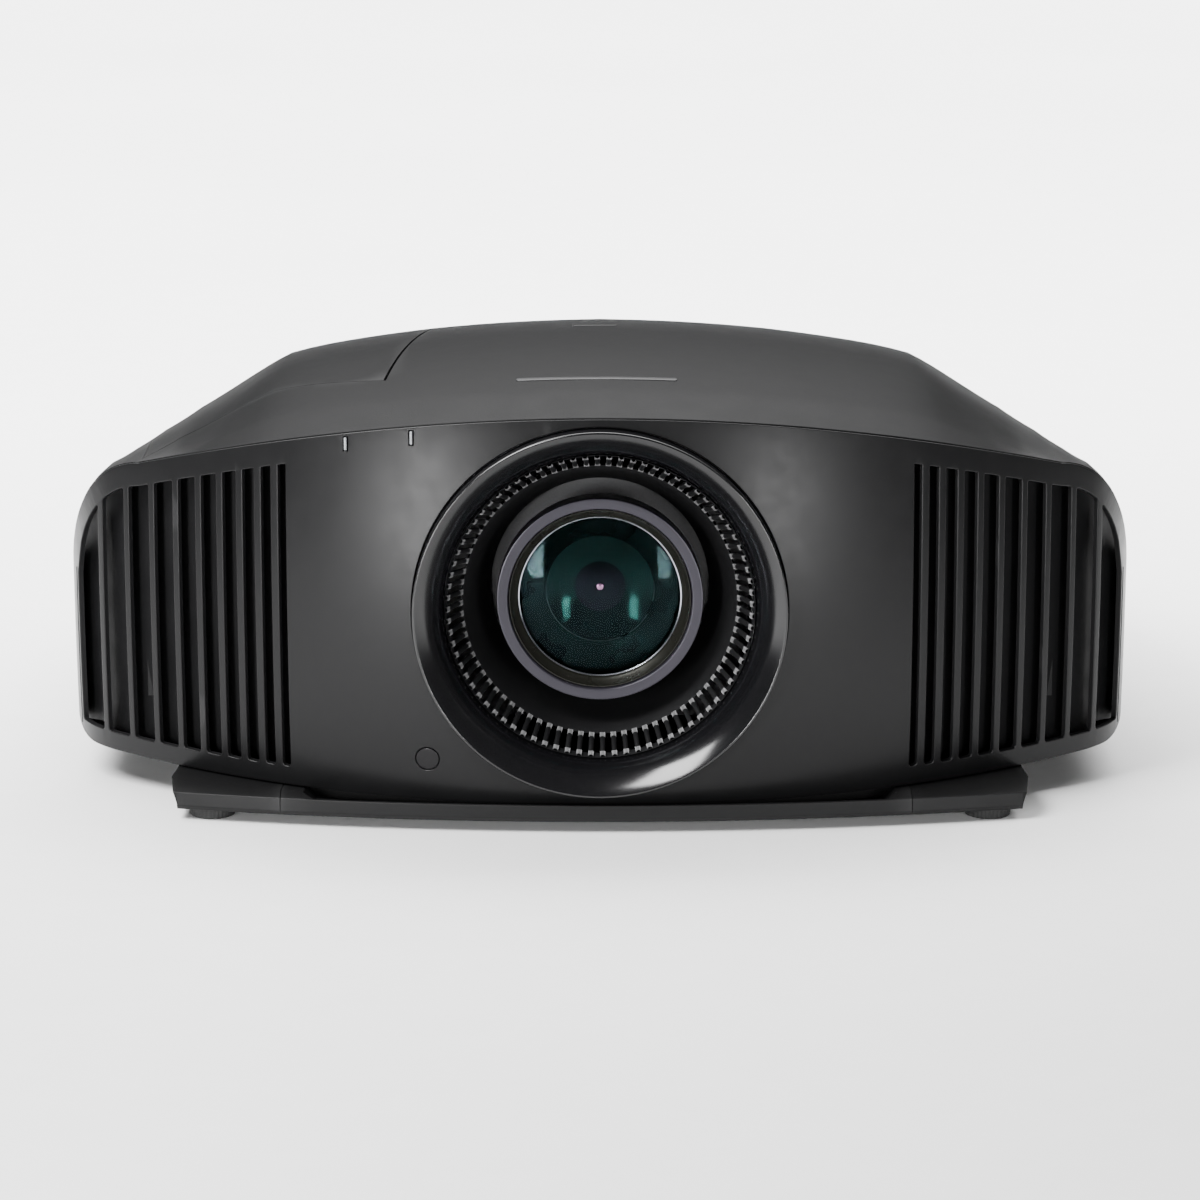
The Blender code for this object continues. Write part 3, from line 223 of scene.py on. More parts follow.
def piece(name, points, faces, finish, body="chassis", slot=None, replaced=(), angle=34.0, smooth=True):
    """One visible piece in world coordinates, riding on a body; its faces all wind the same way.

    The slot is not used.
    """
    mesh = bpy.data.meshes.new(name)
    mesh.from_pydata([tuple(map(float, point)) for point in points], [], faces)
    work = bmesh.new()
    work.from_mesh(mesh)
    if work.calc_volume(signed=True) < 0:
        bmesh.ops.reverse_faces(work, faces=work.faces)
    work.to_mesh(mesh)
    work.free()
    if smooth:
        mesh.shade_smooth()
        mesh.set_sharp_from_angle(angle=math.radians(angle))
    made = bpy.data.objects.new(name, mesh)
    bpy.context.scene.collection.objects.link(made)
    mesh.materials.append(FINISHES[finish] if isinstance(finish, str) else finish)
    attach(made, body)
    slot or finish
    if replaced:
        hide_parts(*replaced)
    return made


def weighted(made):
    """Lets the large faces set the shading, so flats stay flat beside their rounded rims."""
    shading = made.modifiers.new("shading", "WEIGHTED_NORMAL")
    shading.keep_sharp = True
    shading.weight = 80
    return made


def unit(rows):
    return rows / np.maximum(np.linalg.norm(rows, axis=-1, keepdims=True), 1e-12)


def thicken(points, faces, normals, loops, outs, thickness, radius, turns=3):
    """Points and faces of a plate: the given front, rims rounded by a radius, straight walls and a back.

    The front keeps that radius clear of each edge; every loop has the plate on its left.
    """
    points, normals = np.asarray(points, float), np.asarray(normals, float)
    size = len(points)
    rows = [points, points - normals * thickness]
    result = [tuple(face) for face in faces] + [tuple(size + corner for corner in face[::-1])
                                                for face in faces]
    total = 2 * size
    for loop, out in zip(loops, outs):
        loop = list(loop)
        base, up = points[loop], normals[loop]
        rings = [loop]
        for step in range(1, turns + 2):
            if step <= turns:
                turn = math.pi / 2 * step / turns
                ring = base + out * radius * math.sin(turn) - up * radius * (1 - math.cos(turn))
            else:
                ring = base + out * radius - up * thickness
            rows.append(ring)
            rings.append(list(range(total, total + len(loop))))
            total += len(loop)
        rings.append([size + corner for corner in loop])
        for one, two in zip(rings, rings[1:]):
            for step in range(len(loop)):
                after = (step + 1) % len(loop)
                result.append((one[after], one[step], two[step], two[after]))
    return np.vstack(rows), result


def inside(places, loop):
    """Which 2-D places lie inside a closed loop."""
    x, y = places[:, 0], places[:, 1]
    hit = np.zeros(len(places), bool)
    for (x0, y0), (x1, y1) in zip(loop, np.roll(loop, -1, 0)):
        if y0 == y1:
            continue
        hit ^= ((y0 > y) != (y1 > y)) & (x < (x1 - x0) * (y - y0) / (y1 - y0) + x0)
    return hit


def skin(surface, loops, thickness, radius, spacing, turns=3):
    """A plate over the part of surface(u, v) inside the first loop and outside the others."""
    flat, normals_2d, spans, start = [], [], [], 0
    for number, loop in enumerate(loops):
        loop = np.array(loop, float)
        area = np.sum(loop[:, 0] * np.roll(loop[:, 1], -1) - np.roll(loop[:, 0], -1) * loop[:, 1])
        if (area > 0) != (number == 0):
            loop = loop[::-1]
        run = unit(np.roll(loop, -1, 0) - np.roll(loop, 1, 0))
        out = np.column_stack((run[:, 1], -run[:, 0]))
        flat.append(loop - out * radius)
        normals_2d.append(out)
        spans.append(range(start, start + len(loop)))
        start += len(loop)
    rims = flat[:]
    low, high = rims[0].min(0), rims[0].max(0)
    tree = KDTree(start)
    for number, place in enumerate(np.vstack(rims)):
        tree.insert((*place, 0.0), number)
    tree.balance()
    grid = np.array([(u, v) for u in np.arange(low[0], high[0], spacing) + 0.37 * spacing
                     for v in np.arange(low[1], high[1], spacing) + 0.41 * spacing])
    keep = inside(grid, rims[0])
    for rim in rims[1:]:
        keep &= ~inside(grid, rim)
    grid = np.array([place for place in grid[keep] if tree.find((*place, 0.0))[2] > 0.55 * spacing])
    places = np.vstack(rims + ([grid] if len(grid) else []))
    edges = [(span[step], span[(step + 1) % len(span)]) for span in spans for step in range(len(span))]
    found = delaunay_2d_cdt([Vector(place) for place in places], edges, [], 0, 1e-9)
    order = [origin[0] for origin in found[3]]
    triangles = np.array([[order[corner] for corner in face] for face in found[2]])
    middles = places[triangles].mean(1)
    keep = inside(middles, rims[0])
    for rim in rims[1:]:
        keep &= ~inside(middles, rim)
    triangles = triangles[keep]
    a, b, c = places[triangles].transpose(1, 0, 2)
    turned_over = ((b - a)[:, 0] * (c - a)[:, 1] - (b - a)[:, 1] * (c - a)[:, 0]) < 0
    triangles[turned_over] = triangles[turned_over][:, ::-1]
    step = 1e-5
    points = np.array([surface(u, v) for u, v in places])
    along = unit(np.array([surface(u + step, v) for u, v in places]) - np.array([surface(u - step, v) for u,
                                                                                 v in places]))
    up = unit(np.array([surface(u, v + step) for u, v in places]) - np.array([surface(u, v - step) for u,
                                                                              v in places]))
    normals = unit(np.cross(along, up))
    outs = [unit(along[list(span)] * out[:, :1] + up[list(span)] * out[:, 1:]) for span,
            out in zip(spans, normals_2d)]
    return thicken(points, [tuple(map(int, face)) for face in triangles], normals, spans, outs, thickness,
                   radius, turns)


def grid_plate(grid, thickness, radius, turns=3):
    """A plate whose outer face is a grid of points, with rounded rims; the grid's normals face outwards."""
    outer = np.array(grid, float)
    rows, columns = outer.shape[:2]
    flat = np.cross(outer[1:, 1:] - outer[:-1, :-1], outer[1:, :-1] - outer[:-1, 1:])
    normals = np.zeros_like(outer)
    for corner in (normals[1:, 1:], normals[:-1, 1:], normals[1:, :-1], normals[:-1, :-1]):
        corner += unit(flat)
    normals = unit(normals)
    middle = outer.reshape(-1, 3).mean(0) - np.array((0.0, 0.0, 0.03))
    if np.sum(normals * (outer - middle), axis=2).mean() < 0:
        normals = -normals
    outs = np.zeros_like(outer)
    outs[0] += unit(outer[0] - outer[1])
    outs[-1] += unit(outer[-1] - outer[-2])
    outs[:, 0] += unit(outer[:, 0] - outer[:, 1])
    outs[:, -1] += unit(outer[:, -1] - outer[:, -2])
    inset = outer - outs * radius
    faces = [(r * columns + c, r * columns + c + 1, (r + 1) * columns + c + 1, (r + 1) * columns + c)
             for r in range(rows - 1) for c in range(columns - 1)]
    border = [(0, c) for c in range(columns)] + [(r, columns - 1) for r in range(1, rows)]
    border += [(rows - 1, c) for c in range(columns - 2, -1, -1)] + [(r, 0) for r in range(rows - 2, 0, -1)]
    loop = [r * columns + c for r, c in border]
    out = unit(outs.reshape(-1, 3)[loop])
    return thicken(inset.reshape(-1, 3), faces, normals.reshape(-1, 3), [loop], [out], thickness, radius,
                   turns)


def rounded(profile, radius, turns=4):
    """A closed profile of two coordinates with its corners rounded."""
    result = []
    count = len(profile)
    for step in range(count):
        before, here, after = (Vector(profile[(step + k) % count]) for k in (-1, 0, 1))
        one, two = before - here, after - here
        reach = min(radius, one.length * 0.45, two.length * 0.45)
        start, end = here + one.normalized() * reach, here + two.normalized() * reach
        for turn in range(turns + 1):
            share = turn / turns
            result.append(tuple(start * (1 - share) ** 2 + here * 2 * share * (1 - share)
                                + end * share ** 2))
    return result


def turned(profile, centre, axis="Y", steps=160, ripple=None):
    """Points and faces of a closed profile of (radius, place) turned about an axis."""
    points, faces = [], []
    count = len(profile)
    for step in range(steps):
        turn = 2 * math.pi * step / steps
        for radius, along in profile:
            if ripple and radius > ripple[0]:
                radius -= ripple[2] * (0.5 + 0.5 * math.cos(turn * ripple[1])) ** 3
            a, b = radius * math.cos(turn), radius * math.sin(turn)
            points.append((centre[0] + a, along, centre[2] + b) if axis == "Y" else
                          (centre[0] + a, centre[1] + b, along) if axis == "Z" else
                          (along, centre[1] + a, centre[2] + b))
        after = (step + 1) % steps
        for k in range(count):
            next_k = (k + 1) % count
            faces.append((step * count + k, step * count + next_k, after * count + next_k,
                          after * count + k))
    return points, faces


def soft_box(low, high, radius, segments=3):
    """Points and faces of a box with rounded edges."""
    work = bmesh.new()
    bmesh.ops.create_cube(work, size=1.0)
    low, high = Vector(low), Vector(high)
    size = high - low
    for vert in work.verts:
        vert.co = Vector([low[k] + (vert.co[k] + 0.5) * size[k] for k in range(3)])
    radius = min(radius, 0.45 * min(size))
    bmesh.ops.bevel(work, geom=list(work.edges), offset=radius, segments=segments, profile=0.5,
                    affect="EDGES")
    work.verts.ensure_lookup_table()
    points = [tuple(vert.co) for vert in work.verts]
    faces = [tuple(vert.index for vert in face.verts) for face in work.faces]
    work.free()
    return points, faces


def volume(points, faces):
    """Volume inside closed faces, negative where they face inwards."""
    total = 0.0
    for face in faces:
        first = Vector(points[face[0]])
        for one, two in zip(face[1:], face[2:]):
            total += first.dot(Vector(points[one]).cross(Vector(points[two])))
    return total / 6


def merged(parts):
    """Several closed sets of points and faces as one, all facing outwards."""
    points, faces = [], []
    for part_points, part_faces in parts:
        start = len(points)
        turn = -1 if volume(part_points, part_faces) < 0 else 1
        points += [tuple(point) for point in part_points]
        faces += [tuple(start + corner for corner in face[::turn]) for face in part_faces]
    return points, faces


def soft_boxes(name, spans, finish, body="chassis", slot=None, radius=0.0003, segments=2, replaced=()):
    boxes = [soft_box(low, high, radius, segments) for low, high in spans]
    return piece(name, *merged(boxes), finish, body, slot, replaced)


def pierced(target, points, faces, operation="DIFFERENCE"):
    """Cuts a tool out of a piece and applies it."""
    mesh = bpy.data.meshes.new("tool")
    mesh.from_pydata([tuple(map(float, point)) for point in points], [], faces)
    work = bmesh.new()
    work.from_mesh(mesh)
    bmesh.ops.recalc_face_normals(work, faces=work.faces)
    work.to_mesh(mesh)
    work.free()
    tool = bpy.data.objects.new("tool", mesh)
    bpy.context.scene.collection.objects.link(tool)
    step = target.modifiers.new("cut", "BOOLEAN")
    step.operation, step.solver, step.object = operation, "EXACT", tool
    bpy.context.view_layer.update()
    result = bpy.data.meshes.new_from_object(target.evaluated_get(bpy.context.evaluated_depsgraph_get()))
    target.modifiers.remove(step)
    old, target.data = target.data, result
    result.name = target.name
    bpy.data.meshes.remove(old)
    bpy.data.objects.remove(tool)
    bpy.data.meshes.remove(mesh)
    return target


def prism(outline, low, high):
    """An outline in plan pushed from low to high."""
    count = len(outline)
    points = [(x, y, z) for z in (low, high) for x, y in outline]
    faces = [tuple(range(count))[::-1], tuple(range(count, 2 * count))]
    faces += [(k, (k + 1) % count, count + (k + 1) % count, count + k) for k in range(count)]
    return points, faces


# ---------------------------------------------------------------- the case as a surface

def smooth_step(value, start, end):
    share = min(max((value - start) / (end - start), 0.0), 1.0)
    return share * share * (3 - 2 * share)


def plan_drop(x, arc, corner_x, half):
    x = min(abs(x), half)
    if x <= corner_x:
        return arc - math.sqrt(arc * arc - x * x), math.sqrt(1 - (x / arc) ** 2)
    small = (half - corner_x) / (1 - corner_x / arc)
    sine = corner_x / arc
    over = min((x - corner_x + small * sine) / small, 1.0)
    rise = math.sqrt(max(1 - over * over, 0.0))
    cosine = math.sqrt(1 - sine * sine)
    return arc * (1 - cosine) + small * (cosine - rise), rise


def plan_place(run, arc, corner_x, half):
    """Place across and fall of a plan curve at a distance along it from the middle."""
    first = math.asin(corner_x / arc)
    small = (half - corner_x) / (1 - corner_x / arc)
    length = abs(run)
    if length <= arc * first:
        turn = length / arc
        x, drop = arc * math.sin(turn), arc * (1 - math.cos(turn))
    else:
        turn = first + (length - arc * first) / small
        x = corner_x + small * (math.sin(turn) - math.sin(first))
        drop = arc * (1 - math.cos(first)) + small * (math.cos(first) - math.cos(turn))
    return math.copysign(x, run), drop


def plan_run(x, arc, corner_x, half):
    """Distance along a plan curve at x."""
    first = math.asin(corner_x / arc)
    small = (half - corner_x) / (1 - corner_x / arc)
    across = min(abs(x), half)
    if across <= corner_x:
        return math.copysign(arc * math.asin(across / arc), x)
    turn = math.asin(min((across - corner_x) / small + math.sin(first), 1.0))
    return math.copysign(arc * first + small * (turn - first), x)


FACE_PLAN = (FACE_RADIUS, FACE_CORNER_X, HALF)
BACK_PLAN = (BACK_RADIUS, BACK_CORNER_X, BACK_HALF)


def face_run(x):
    """Distance along the front face's curve from the middle to a given x."""
    return plan_run(x, *FACE_PLAN)


def bulge(z):
    return (z - BULGE_HEIGHT) ** 2 / (2 * BULGE_RADIUS)


def face_surface(run, z):
    x, drop = plan_place(run, *FACE_PLAN)
    return (x, FRONT + drop + bulge(z), z)


def back_surface(run, z):
    x, drop = plan_place(-run, *BACK_PLAN)
    return (x, BACK - drop, z)


def face_y(x, z):
    return FRONT + plan_drop(x, *FACE_PLAN)[0] + bulge(z)


def corner_z(x, inset_x=0.0, inset_z=0.0):
    over = min((abs(x) - CORNER_CENTRE[0]) / (CORNER_REACH[0] - inset_x), 1.0)
    return CORNER_CENTRE[1] + (CORNER_REACH[1] - inset_z) * (1 - over ** CORNER_POWER) ** (1 / CORNER_POWER)


def face_top(x):
    return FACE_TOP - x * x / CROWN if abs(x) <= CORNER_X else corner_z(x)


def case_bottom(x):
    start = HALF - LOW_CORNER
    if abs(x) <= start:
        return FACE_BOTTOM + 0.115 * x * x
    over = min((abs(x) - start) / LOW_CORNER, 1.0)
    return FACE_BOTTOM + 0.115 * start * start + LOW_CORNER * (1 - math.sqrt(1 - over * over))


def roof_z(y):
    run = y - PEAK_Y
    if run < 0:
        return HEIGHT - run * run / (2 * RISE_RADIUS)
    turn = FALL_SLOPE * FALL_RADIUS
    if run < turn:
        return HEIGHT - run * run / (2 * FALL_RADIUS)
    return HEIGHT - turn * turn / (2 * FALL_RADIUS) - FALL_SLOPE * (run - turn)


def corner_columns():
    small = (HALF - FACE_CORNER_X) / (1 - FACE_CORNER_X / FACE_RADIUS)
    first = math.asin(FACE_CORNER_X / FACE_RADIUS)
    turns = [first + (math.pi / 2 - first) * step / 4 for step in range(1, 5)]
    return [HALF - small * (1 - math.sin(turn)) for turn in turns]


COLUMNS = [0.0, 0.04, 0.08, 0.115, SHOULDER_X, 0.180, 0.200, CORNER_X, FACE_CORNER_X, *corner_columns()]
SHOULDERS = [SHOULDER_X, 0.172, 0.194, 0.212, 0.226, SHOULDER_END]
LAST = len(COLUMNS) - 1
FINE = [0.25 * step for step in range(4 * LAST + 1)]


def between(values, place):
    low = min(int(place), len(values) - 2)
    return values[low] + (values[low + 1] - values[low]) * (place - low)


def front_point(place):
    small = (HALF - FACE_CORNER_X) / (1 - FACE_CORNER_X / FACE_RADIUS)
    first = math.asin(FACE_CORNER_X / FACE_RADIUS)
    if place <= 8:
        x = between(COLUMNS, place)
    else:
        x = HALF - small * (1 - math.sin(first + (math.pi / 2 - first) * (place - 8) / 4))
    return x, face_top(x)


def shoulder_point(place, middle, half):
    """Place and height on a section's crown, straight shoulder and rounded edge."""
    if place <= 4:
        x = between(COLUMNS, place)
        return x, middle - x * x / CROWN
    start_z = middle - SHOULDER_X ** 2 / CROWN
    stretch = (half - SHOULDER_X) / (HALF - SHOULDER_X)

    def on_line(x):
        return SHOULDER_X + (x - SHOULDER_X) * stretch, start_z - SHOULDER_SLOPE * (x - SHOULDER_X)
    if place <= 9:
        return on_line(between(SHOULDERS, place - 4))
    edge_x, edge_z = on_line(SHOULDER_END)
    tip_z = start_z - SHOULDER_SLOPE * (HALF - SHOULDER_X)
    share = between((0.0, 0.33, 0.66, 1.0), place - 9)
    far = 1 - share
    x = far * far * edge_x + (1 - far * far) * half
    return x, far * far * edge_z + 2 * far * share * tip_z + share * share * (tip_z - 0.012)


def side_half(y):
    share = min(max((y - TAPER_START) / (BACK - 0.058 - TAPER_START), 0.0), 1.0)
    return HALF - (HALF - BACK_HALF) * share ** 1.5


FACE_DROP_END = plan_drop(HALF, *FACE_PLAN)[0]
BACK_DROP_END = plan_drop(BACK_HALF, *BACK_PLAN)[0]


def placer(middle_y):
    """Half width of the case behind the front edge, and where its section's points go."""
    to_front = min(max((0.03 - middle_y) / (0.03 - FRONT - bulge(FACE_TOP)), 0.0), 1.0)
    to_back = min(max((middle_y - 0.10) / (BACK - 0.10), 0.0), 1.0)
    half = side_half(middle_y + to_front * FACE_DROP_END - to_back * BACK_DROP_END)

    def place(x, z):
        front = plan_drop(x * HALF / half, *FACE_PLAN)[0] + bulge(z) - bulge(FACE_TOP)
        return (x, middle_y + to_front * front - to_back * plan_drop(x * BACK_HALF / half, *BACK_PLAN)[0], z)
    return place, half


def roof_section(middle_y, half):
    share = smooth_step(middle_y, FRONT, -0.12)
    middle = roof_z(middle_y)
    section = []
    for step in FINE:
        a, b = front_point(step), shoulder_point(step, middle, half)
        lift = (middle - FACE_TOP) * min(max(5 - step, 0.0), 1.0)
        section.append(((1 - share) * a[0] + share * b[0], (1 - share) * (a[1] + lift) + share * b[1]))
    return section


def softened(section):
    """Eases the crease where the shoulder starts."""
    heights = np.array([z for _, z in section])
    for _ in range(6):
        heights[1:-9] = 0.25 * heights[:-10] + 0.5 * heights[1:-9] + 0.25 * heights[2:-8]
    return [(x, z) for (x, _), z in zip(section, heights)]


def front_edge(x, z, wall):
    drop, cosine = plan_drop(x, *FACE_PLAN)
    return FRONT + bulge(z) + min(drop + (wall + GAP) / max(cosine, 0.05), FACE_DROP_END + GAP)


def back_edge(x, wall):
    drop, cosine = plan_drop(x, *BACK_PLAN)
    return BACK - min(drop + (wall + GAP) / max(cosine, 0.05), BACK_DROP_END + GAP)


def mirrored(row):
    return [(-x, y, z) for x, y, z in row[:0:-1]] + list(row)


def sides(half, top, bottom, count=8):
    return [(half, top + (bottom - top) * step / count) for step in range(1, count + 1)]


BACK_MIDDLE_Y = BACK - WALL - GAP
STATIONS = [-0.200 + 0.01 * step for step in range(40)]


def roof_grid():
    section = [front_point(step) for step in FINE]
    rows = [mirrored([(x, front_edge(x, z, WALL), z) for x,
                      z in section + sides(HALF, section[-1][1], SEAM_Z)])]
    for middle_y in STATIONS:
        place, half = placer(middle_y)
        section = softened(roof_section(middle_y, half))
        rows.append(mirrored([place(x, z) for x, z in section + sides(half, section[-1][1], SEAM_Z)]))
    section = softened([shoulder_point(step, roof_z(BACK_MIDDLE_Y), BACK_HALF) for step in FINE])
    rows.append(mirrored([(x, back_edge(x, WALL), z) for x,
                          z in section + sides(BACK_HALF, section[-1][1], SEAM_Z)]))
    return rows


def pan_columns():
    flat = [0.0, 0.03, 0.06, 0.09, 0.12, 0.15, 0.18, 0.20, 0.212, 0.222, 0.230]
    start = HALF - LOW_CORNER
    return flat + [start + LOW_CORNER * math.sin(math.pi / 2 * step / 8) for step in range(9)]


def pan_z(x, half):
    return max(case_bottom(x * HALF / half), PAN_Z)


def pan_grid():
    top = SEAM_Z - GAP

    def section(half):
        low = [(x * half / HALF, pan_z(x, HALF)) for x in pan_columns()]
        return low + sides(half, low[-1][1], top, 4)
    rows = [mirrored([(x, front_edge(x, z, WALL + PAN_SETBACK), z) for x, z in section(HALF)])]
    for middle_y in STATIONS[1::2]:
        place, half = placer(middle_y)
        rows.append(mirrored([place(x, z) for x, z in section(half)]))
    rows.append(mirrored([(x, back_edge(x, WALL), z) for x, z in section(BACK_HALF)]))
    return rows


# ---------------------------------------------------------------- outlines in the front and back faces

def slot_spans():
    spans, outer = [], SLOT_OUTER_X
    for step in range(SLOTS):
        inner = outer - SLOT_WIDTH + step * SLOT_WIDTH_STEP
        spans.append((outer, inner))
        outer = inner - FIN_WIDTH - step * FIN_WIDTH_STEP
    return spans


def slot_top(x):
    return FACE_TOP - x * x / CROWN - SLOT_TOP_MARGIN if x <= CORNER_X else corner_z(x, 0.0040,
                                                                                     SLOT_TOP_MARGIN)


def dense(outline, spacing):
    """A closed outline with extra points so that none of its sides is longer than the spacing."""
    result = []
    for one, two in zip(outline, outline[1:] + outline[:1]):
        length = math.dist(one, two)
        count = max(int(math.ceil(length / spacing)), 1)
        result += [(one[0] + (two[0] - one[0]) * k / count, one[1] + (two[1] - one[1]) * k / count)
                   for k in range(count)]
    return result


def slot_outline(outer, inner, side):
    """Rounded outline of one air slot, in distance along the face's curve and height."""
    low = case_bottom(inner) + SLOT_BOTTOM_MARGIN
    tops = [outer - (outer - inner) * step / 5 for step in range(6)]
    shape = [(face_run(x), slot_top(x)) for x in tops]
    shape += [(face_run(inner), low), (face_run(outer), low + 0.0006)]
    return dense([(side * run, z) for run, z in rounded(shape, 0.0016)], 0.004)


def circle(x, z, radius, count, plan=FACE_PLAN):
    turns = [2 * math.pi * step / count for step in range(count)]
    return [(plan_run(x + radius * math.cos(turn), *plan), z + radius * math.sin(turn)) for turn in turns]


def face_outline():
    """Outline of the front face: along its bottom, up its side, round its corner and back along its top."""
    end = face_run(HALF)
    bottom = [plan_place(end * step / 90, *FACE_PLAN)[0] for step in range(91)]
    right = [(face_run(x), case_bottom(x)) for x in bottom]
    right += [(end, case_bottom(HALF) + (CORNER_CENTRE[1] - case_bottom(HALF)) * step / 14)
              for step in range(1, 15)]
    turns = [math.pi / 2 * step / 40 for step in range(1, 40)]
    for turn in turns:
        x = CORNER_CENTRE[0] + CORNER_REACH[0] * math.cos(turn) ** (2 / CORNER_POWER)
        z = CORNER_CENTRE[1] + CORNER_REACH[1] * math.sin(turn) ** (2 / CORNER_POWER)
        if x > CORNER_X:
            right.append((face_run(x), z))
    right += [(face_run(x), face_top(x)) for x in np.linspace(CORNER_X, 0.0, 60)]
    return dense(right[:-1] + [(-run, z) for run, z in right[:0:-1]], 0.006)


# ---------------------------------------------------------------- the case

def make_face():
    loops = [face_outline()]
    loops += [slot_outline(outer, inner, side) for outer, inner in slot_spans() for side in (-1, 1)]
    loops.append(circle(0.0, AXIS_Z, RING_R + GAP, 200))
    for x, low, high in STATUS_LIGHTS:
        left, right = face_run(x - LIGHT_OPENING), face_run(x + LIGHT_OPENING)
        low, high = low - 0.0004, high + 0.0004
        loops.append(dense([(left, low), (right, low), (right, high), (left, high)], 0.0015))
    loops.append(circle(*WINDOW_PLACE, WINDOW_R + 0.0003, 48))
    weighted(piece("front_face", *skin(face_surface, loops, WALL, 0.0005, 0.006), "front_shell",
                   replaced=("front_fascia",)))
    blades = []
    for outer, inner in slot_spans():
        for side in (-1, 1):
            for edge, turn in ((outer, 1), (inner, -1)):
                low, high = case_bottom(inner) + SLOT_BOTTOM_MARGIN - 0.002, min(slot_top(edge) + 0.002,
                                                                                 0.186)
                near, far = edge + turn * 0.0004, edge + turn * 0.0011
                heights = np.linspace(low, high, 9)
                points, faces = [], []
                for z in heights:
                    start = face_y(edge, z) + WALL - 0.0002
                    points += [(side * near, start, z), (side * far, start, z),
                               (side * far, start + 0.007, z),
                               (side * near, start + 0.007, z)]
                for row in range(len(heights) - 1):
                    faces += [(row * 4 + k, row * 4 + (k + 1) % 4, row * 4 + 4 + (k + 1) % 4,
                               row * 4 + 4 + k)
                              for k in range(4)]
                faces += [(3, 2, 1, 0), tuple(len(points) - 4 + k for k in range(4))]
                blades.append((points, faces))
    piece("slot_walls", *merged(blades), "inner_black", "chassis", "front_shell", smooth=False)
    lights = [((x - 0.00055, face_y(x, low) - 0.0003, low), (x + 0.00055, face_y(x, low) + 0.0022, high))
              for x, low, high in STATUS_LIGHTS]
    for number, (low, high) in enumerate(lights, 1):
        soft_boxes("status_bar_%d" % number, [(low, high)], "light_guide", "chassis", "light_guide",
                   0.0003, 3, ("status_light_%d" % number,))
    lens = [circle(*WINDOW_PLACE, WINDOW_R, 48)]
    piece("receiver_window", *skin(behind_face(0.0001), lens, 0.0024, 0.0003, 0.0016), "dark_window",
          replaced=("remote_window",))
    liner = behind_face(LINER_DEPTH, LINER_CORNER_DEPTH)
    runs = np.linspace(face_run(LINER_INNER_X), face_run(HALF) - 0.0004, 40)
    for side, label in ((-1, "left"), (1, "right")):
        lows = [case_bottom(min(plan_place(run, *FACE_PLAN)[0], SLOT_OUTER_X)) + 0.0034 for run in runs]
        tops = [slot_top(min(liner(run, AXIS_Z)[0], SLOT_OUTER_X)) + 0.0035 for run in runs]
        edge = [(side * run, z) for run, z in zip(runs, lows)]
        edge += [(side * run, z) for run, z in zip(runs[::-1], tops[::-1])]
        piece("slot_liner_" + label, *skin(liner, [dense(edge, 0.005)], 0.0008, 0.0002, 0.008),
              "inner_black", "chassis", "front_shell")


LINER_INNER_X, LINER_DEPTH, LINER_CORNER_DEPTH = 0.1260, 0.0098, 0.0027


def behind_face(depth, corner_depth=None):
    """The front face's surface set back by a depth, which can change towards the two front corners."""
    end = face_run(HALF)

    def surface(run, z):
        nearness = smooth_step(abs(run), end - 0.022, end - 0.006)
        set_back = depth if corner_depth is None else depth + (corner_depth - depth) * nearness
        here = Vector(face_surface(run, z))
        along = Vector(face_surface(run + 1e-5, z)) - here
        up = Vector(face_surface(run, z + 1e-5)) - here
        return tuple(here - along.cross(up).normalized() * set_back)
    return surface


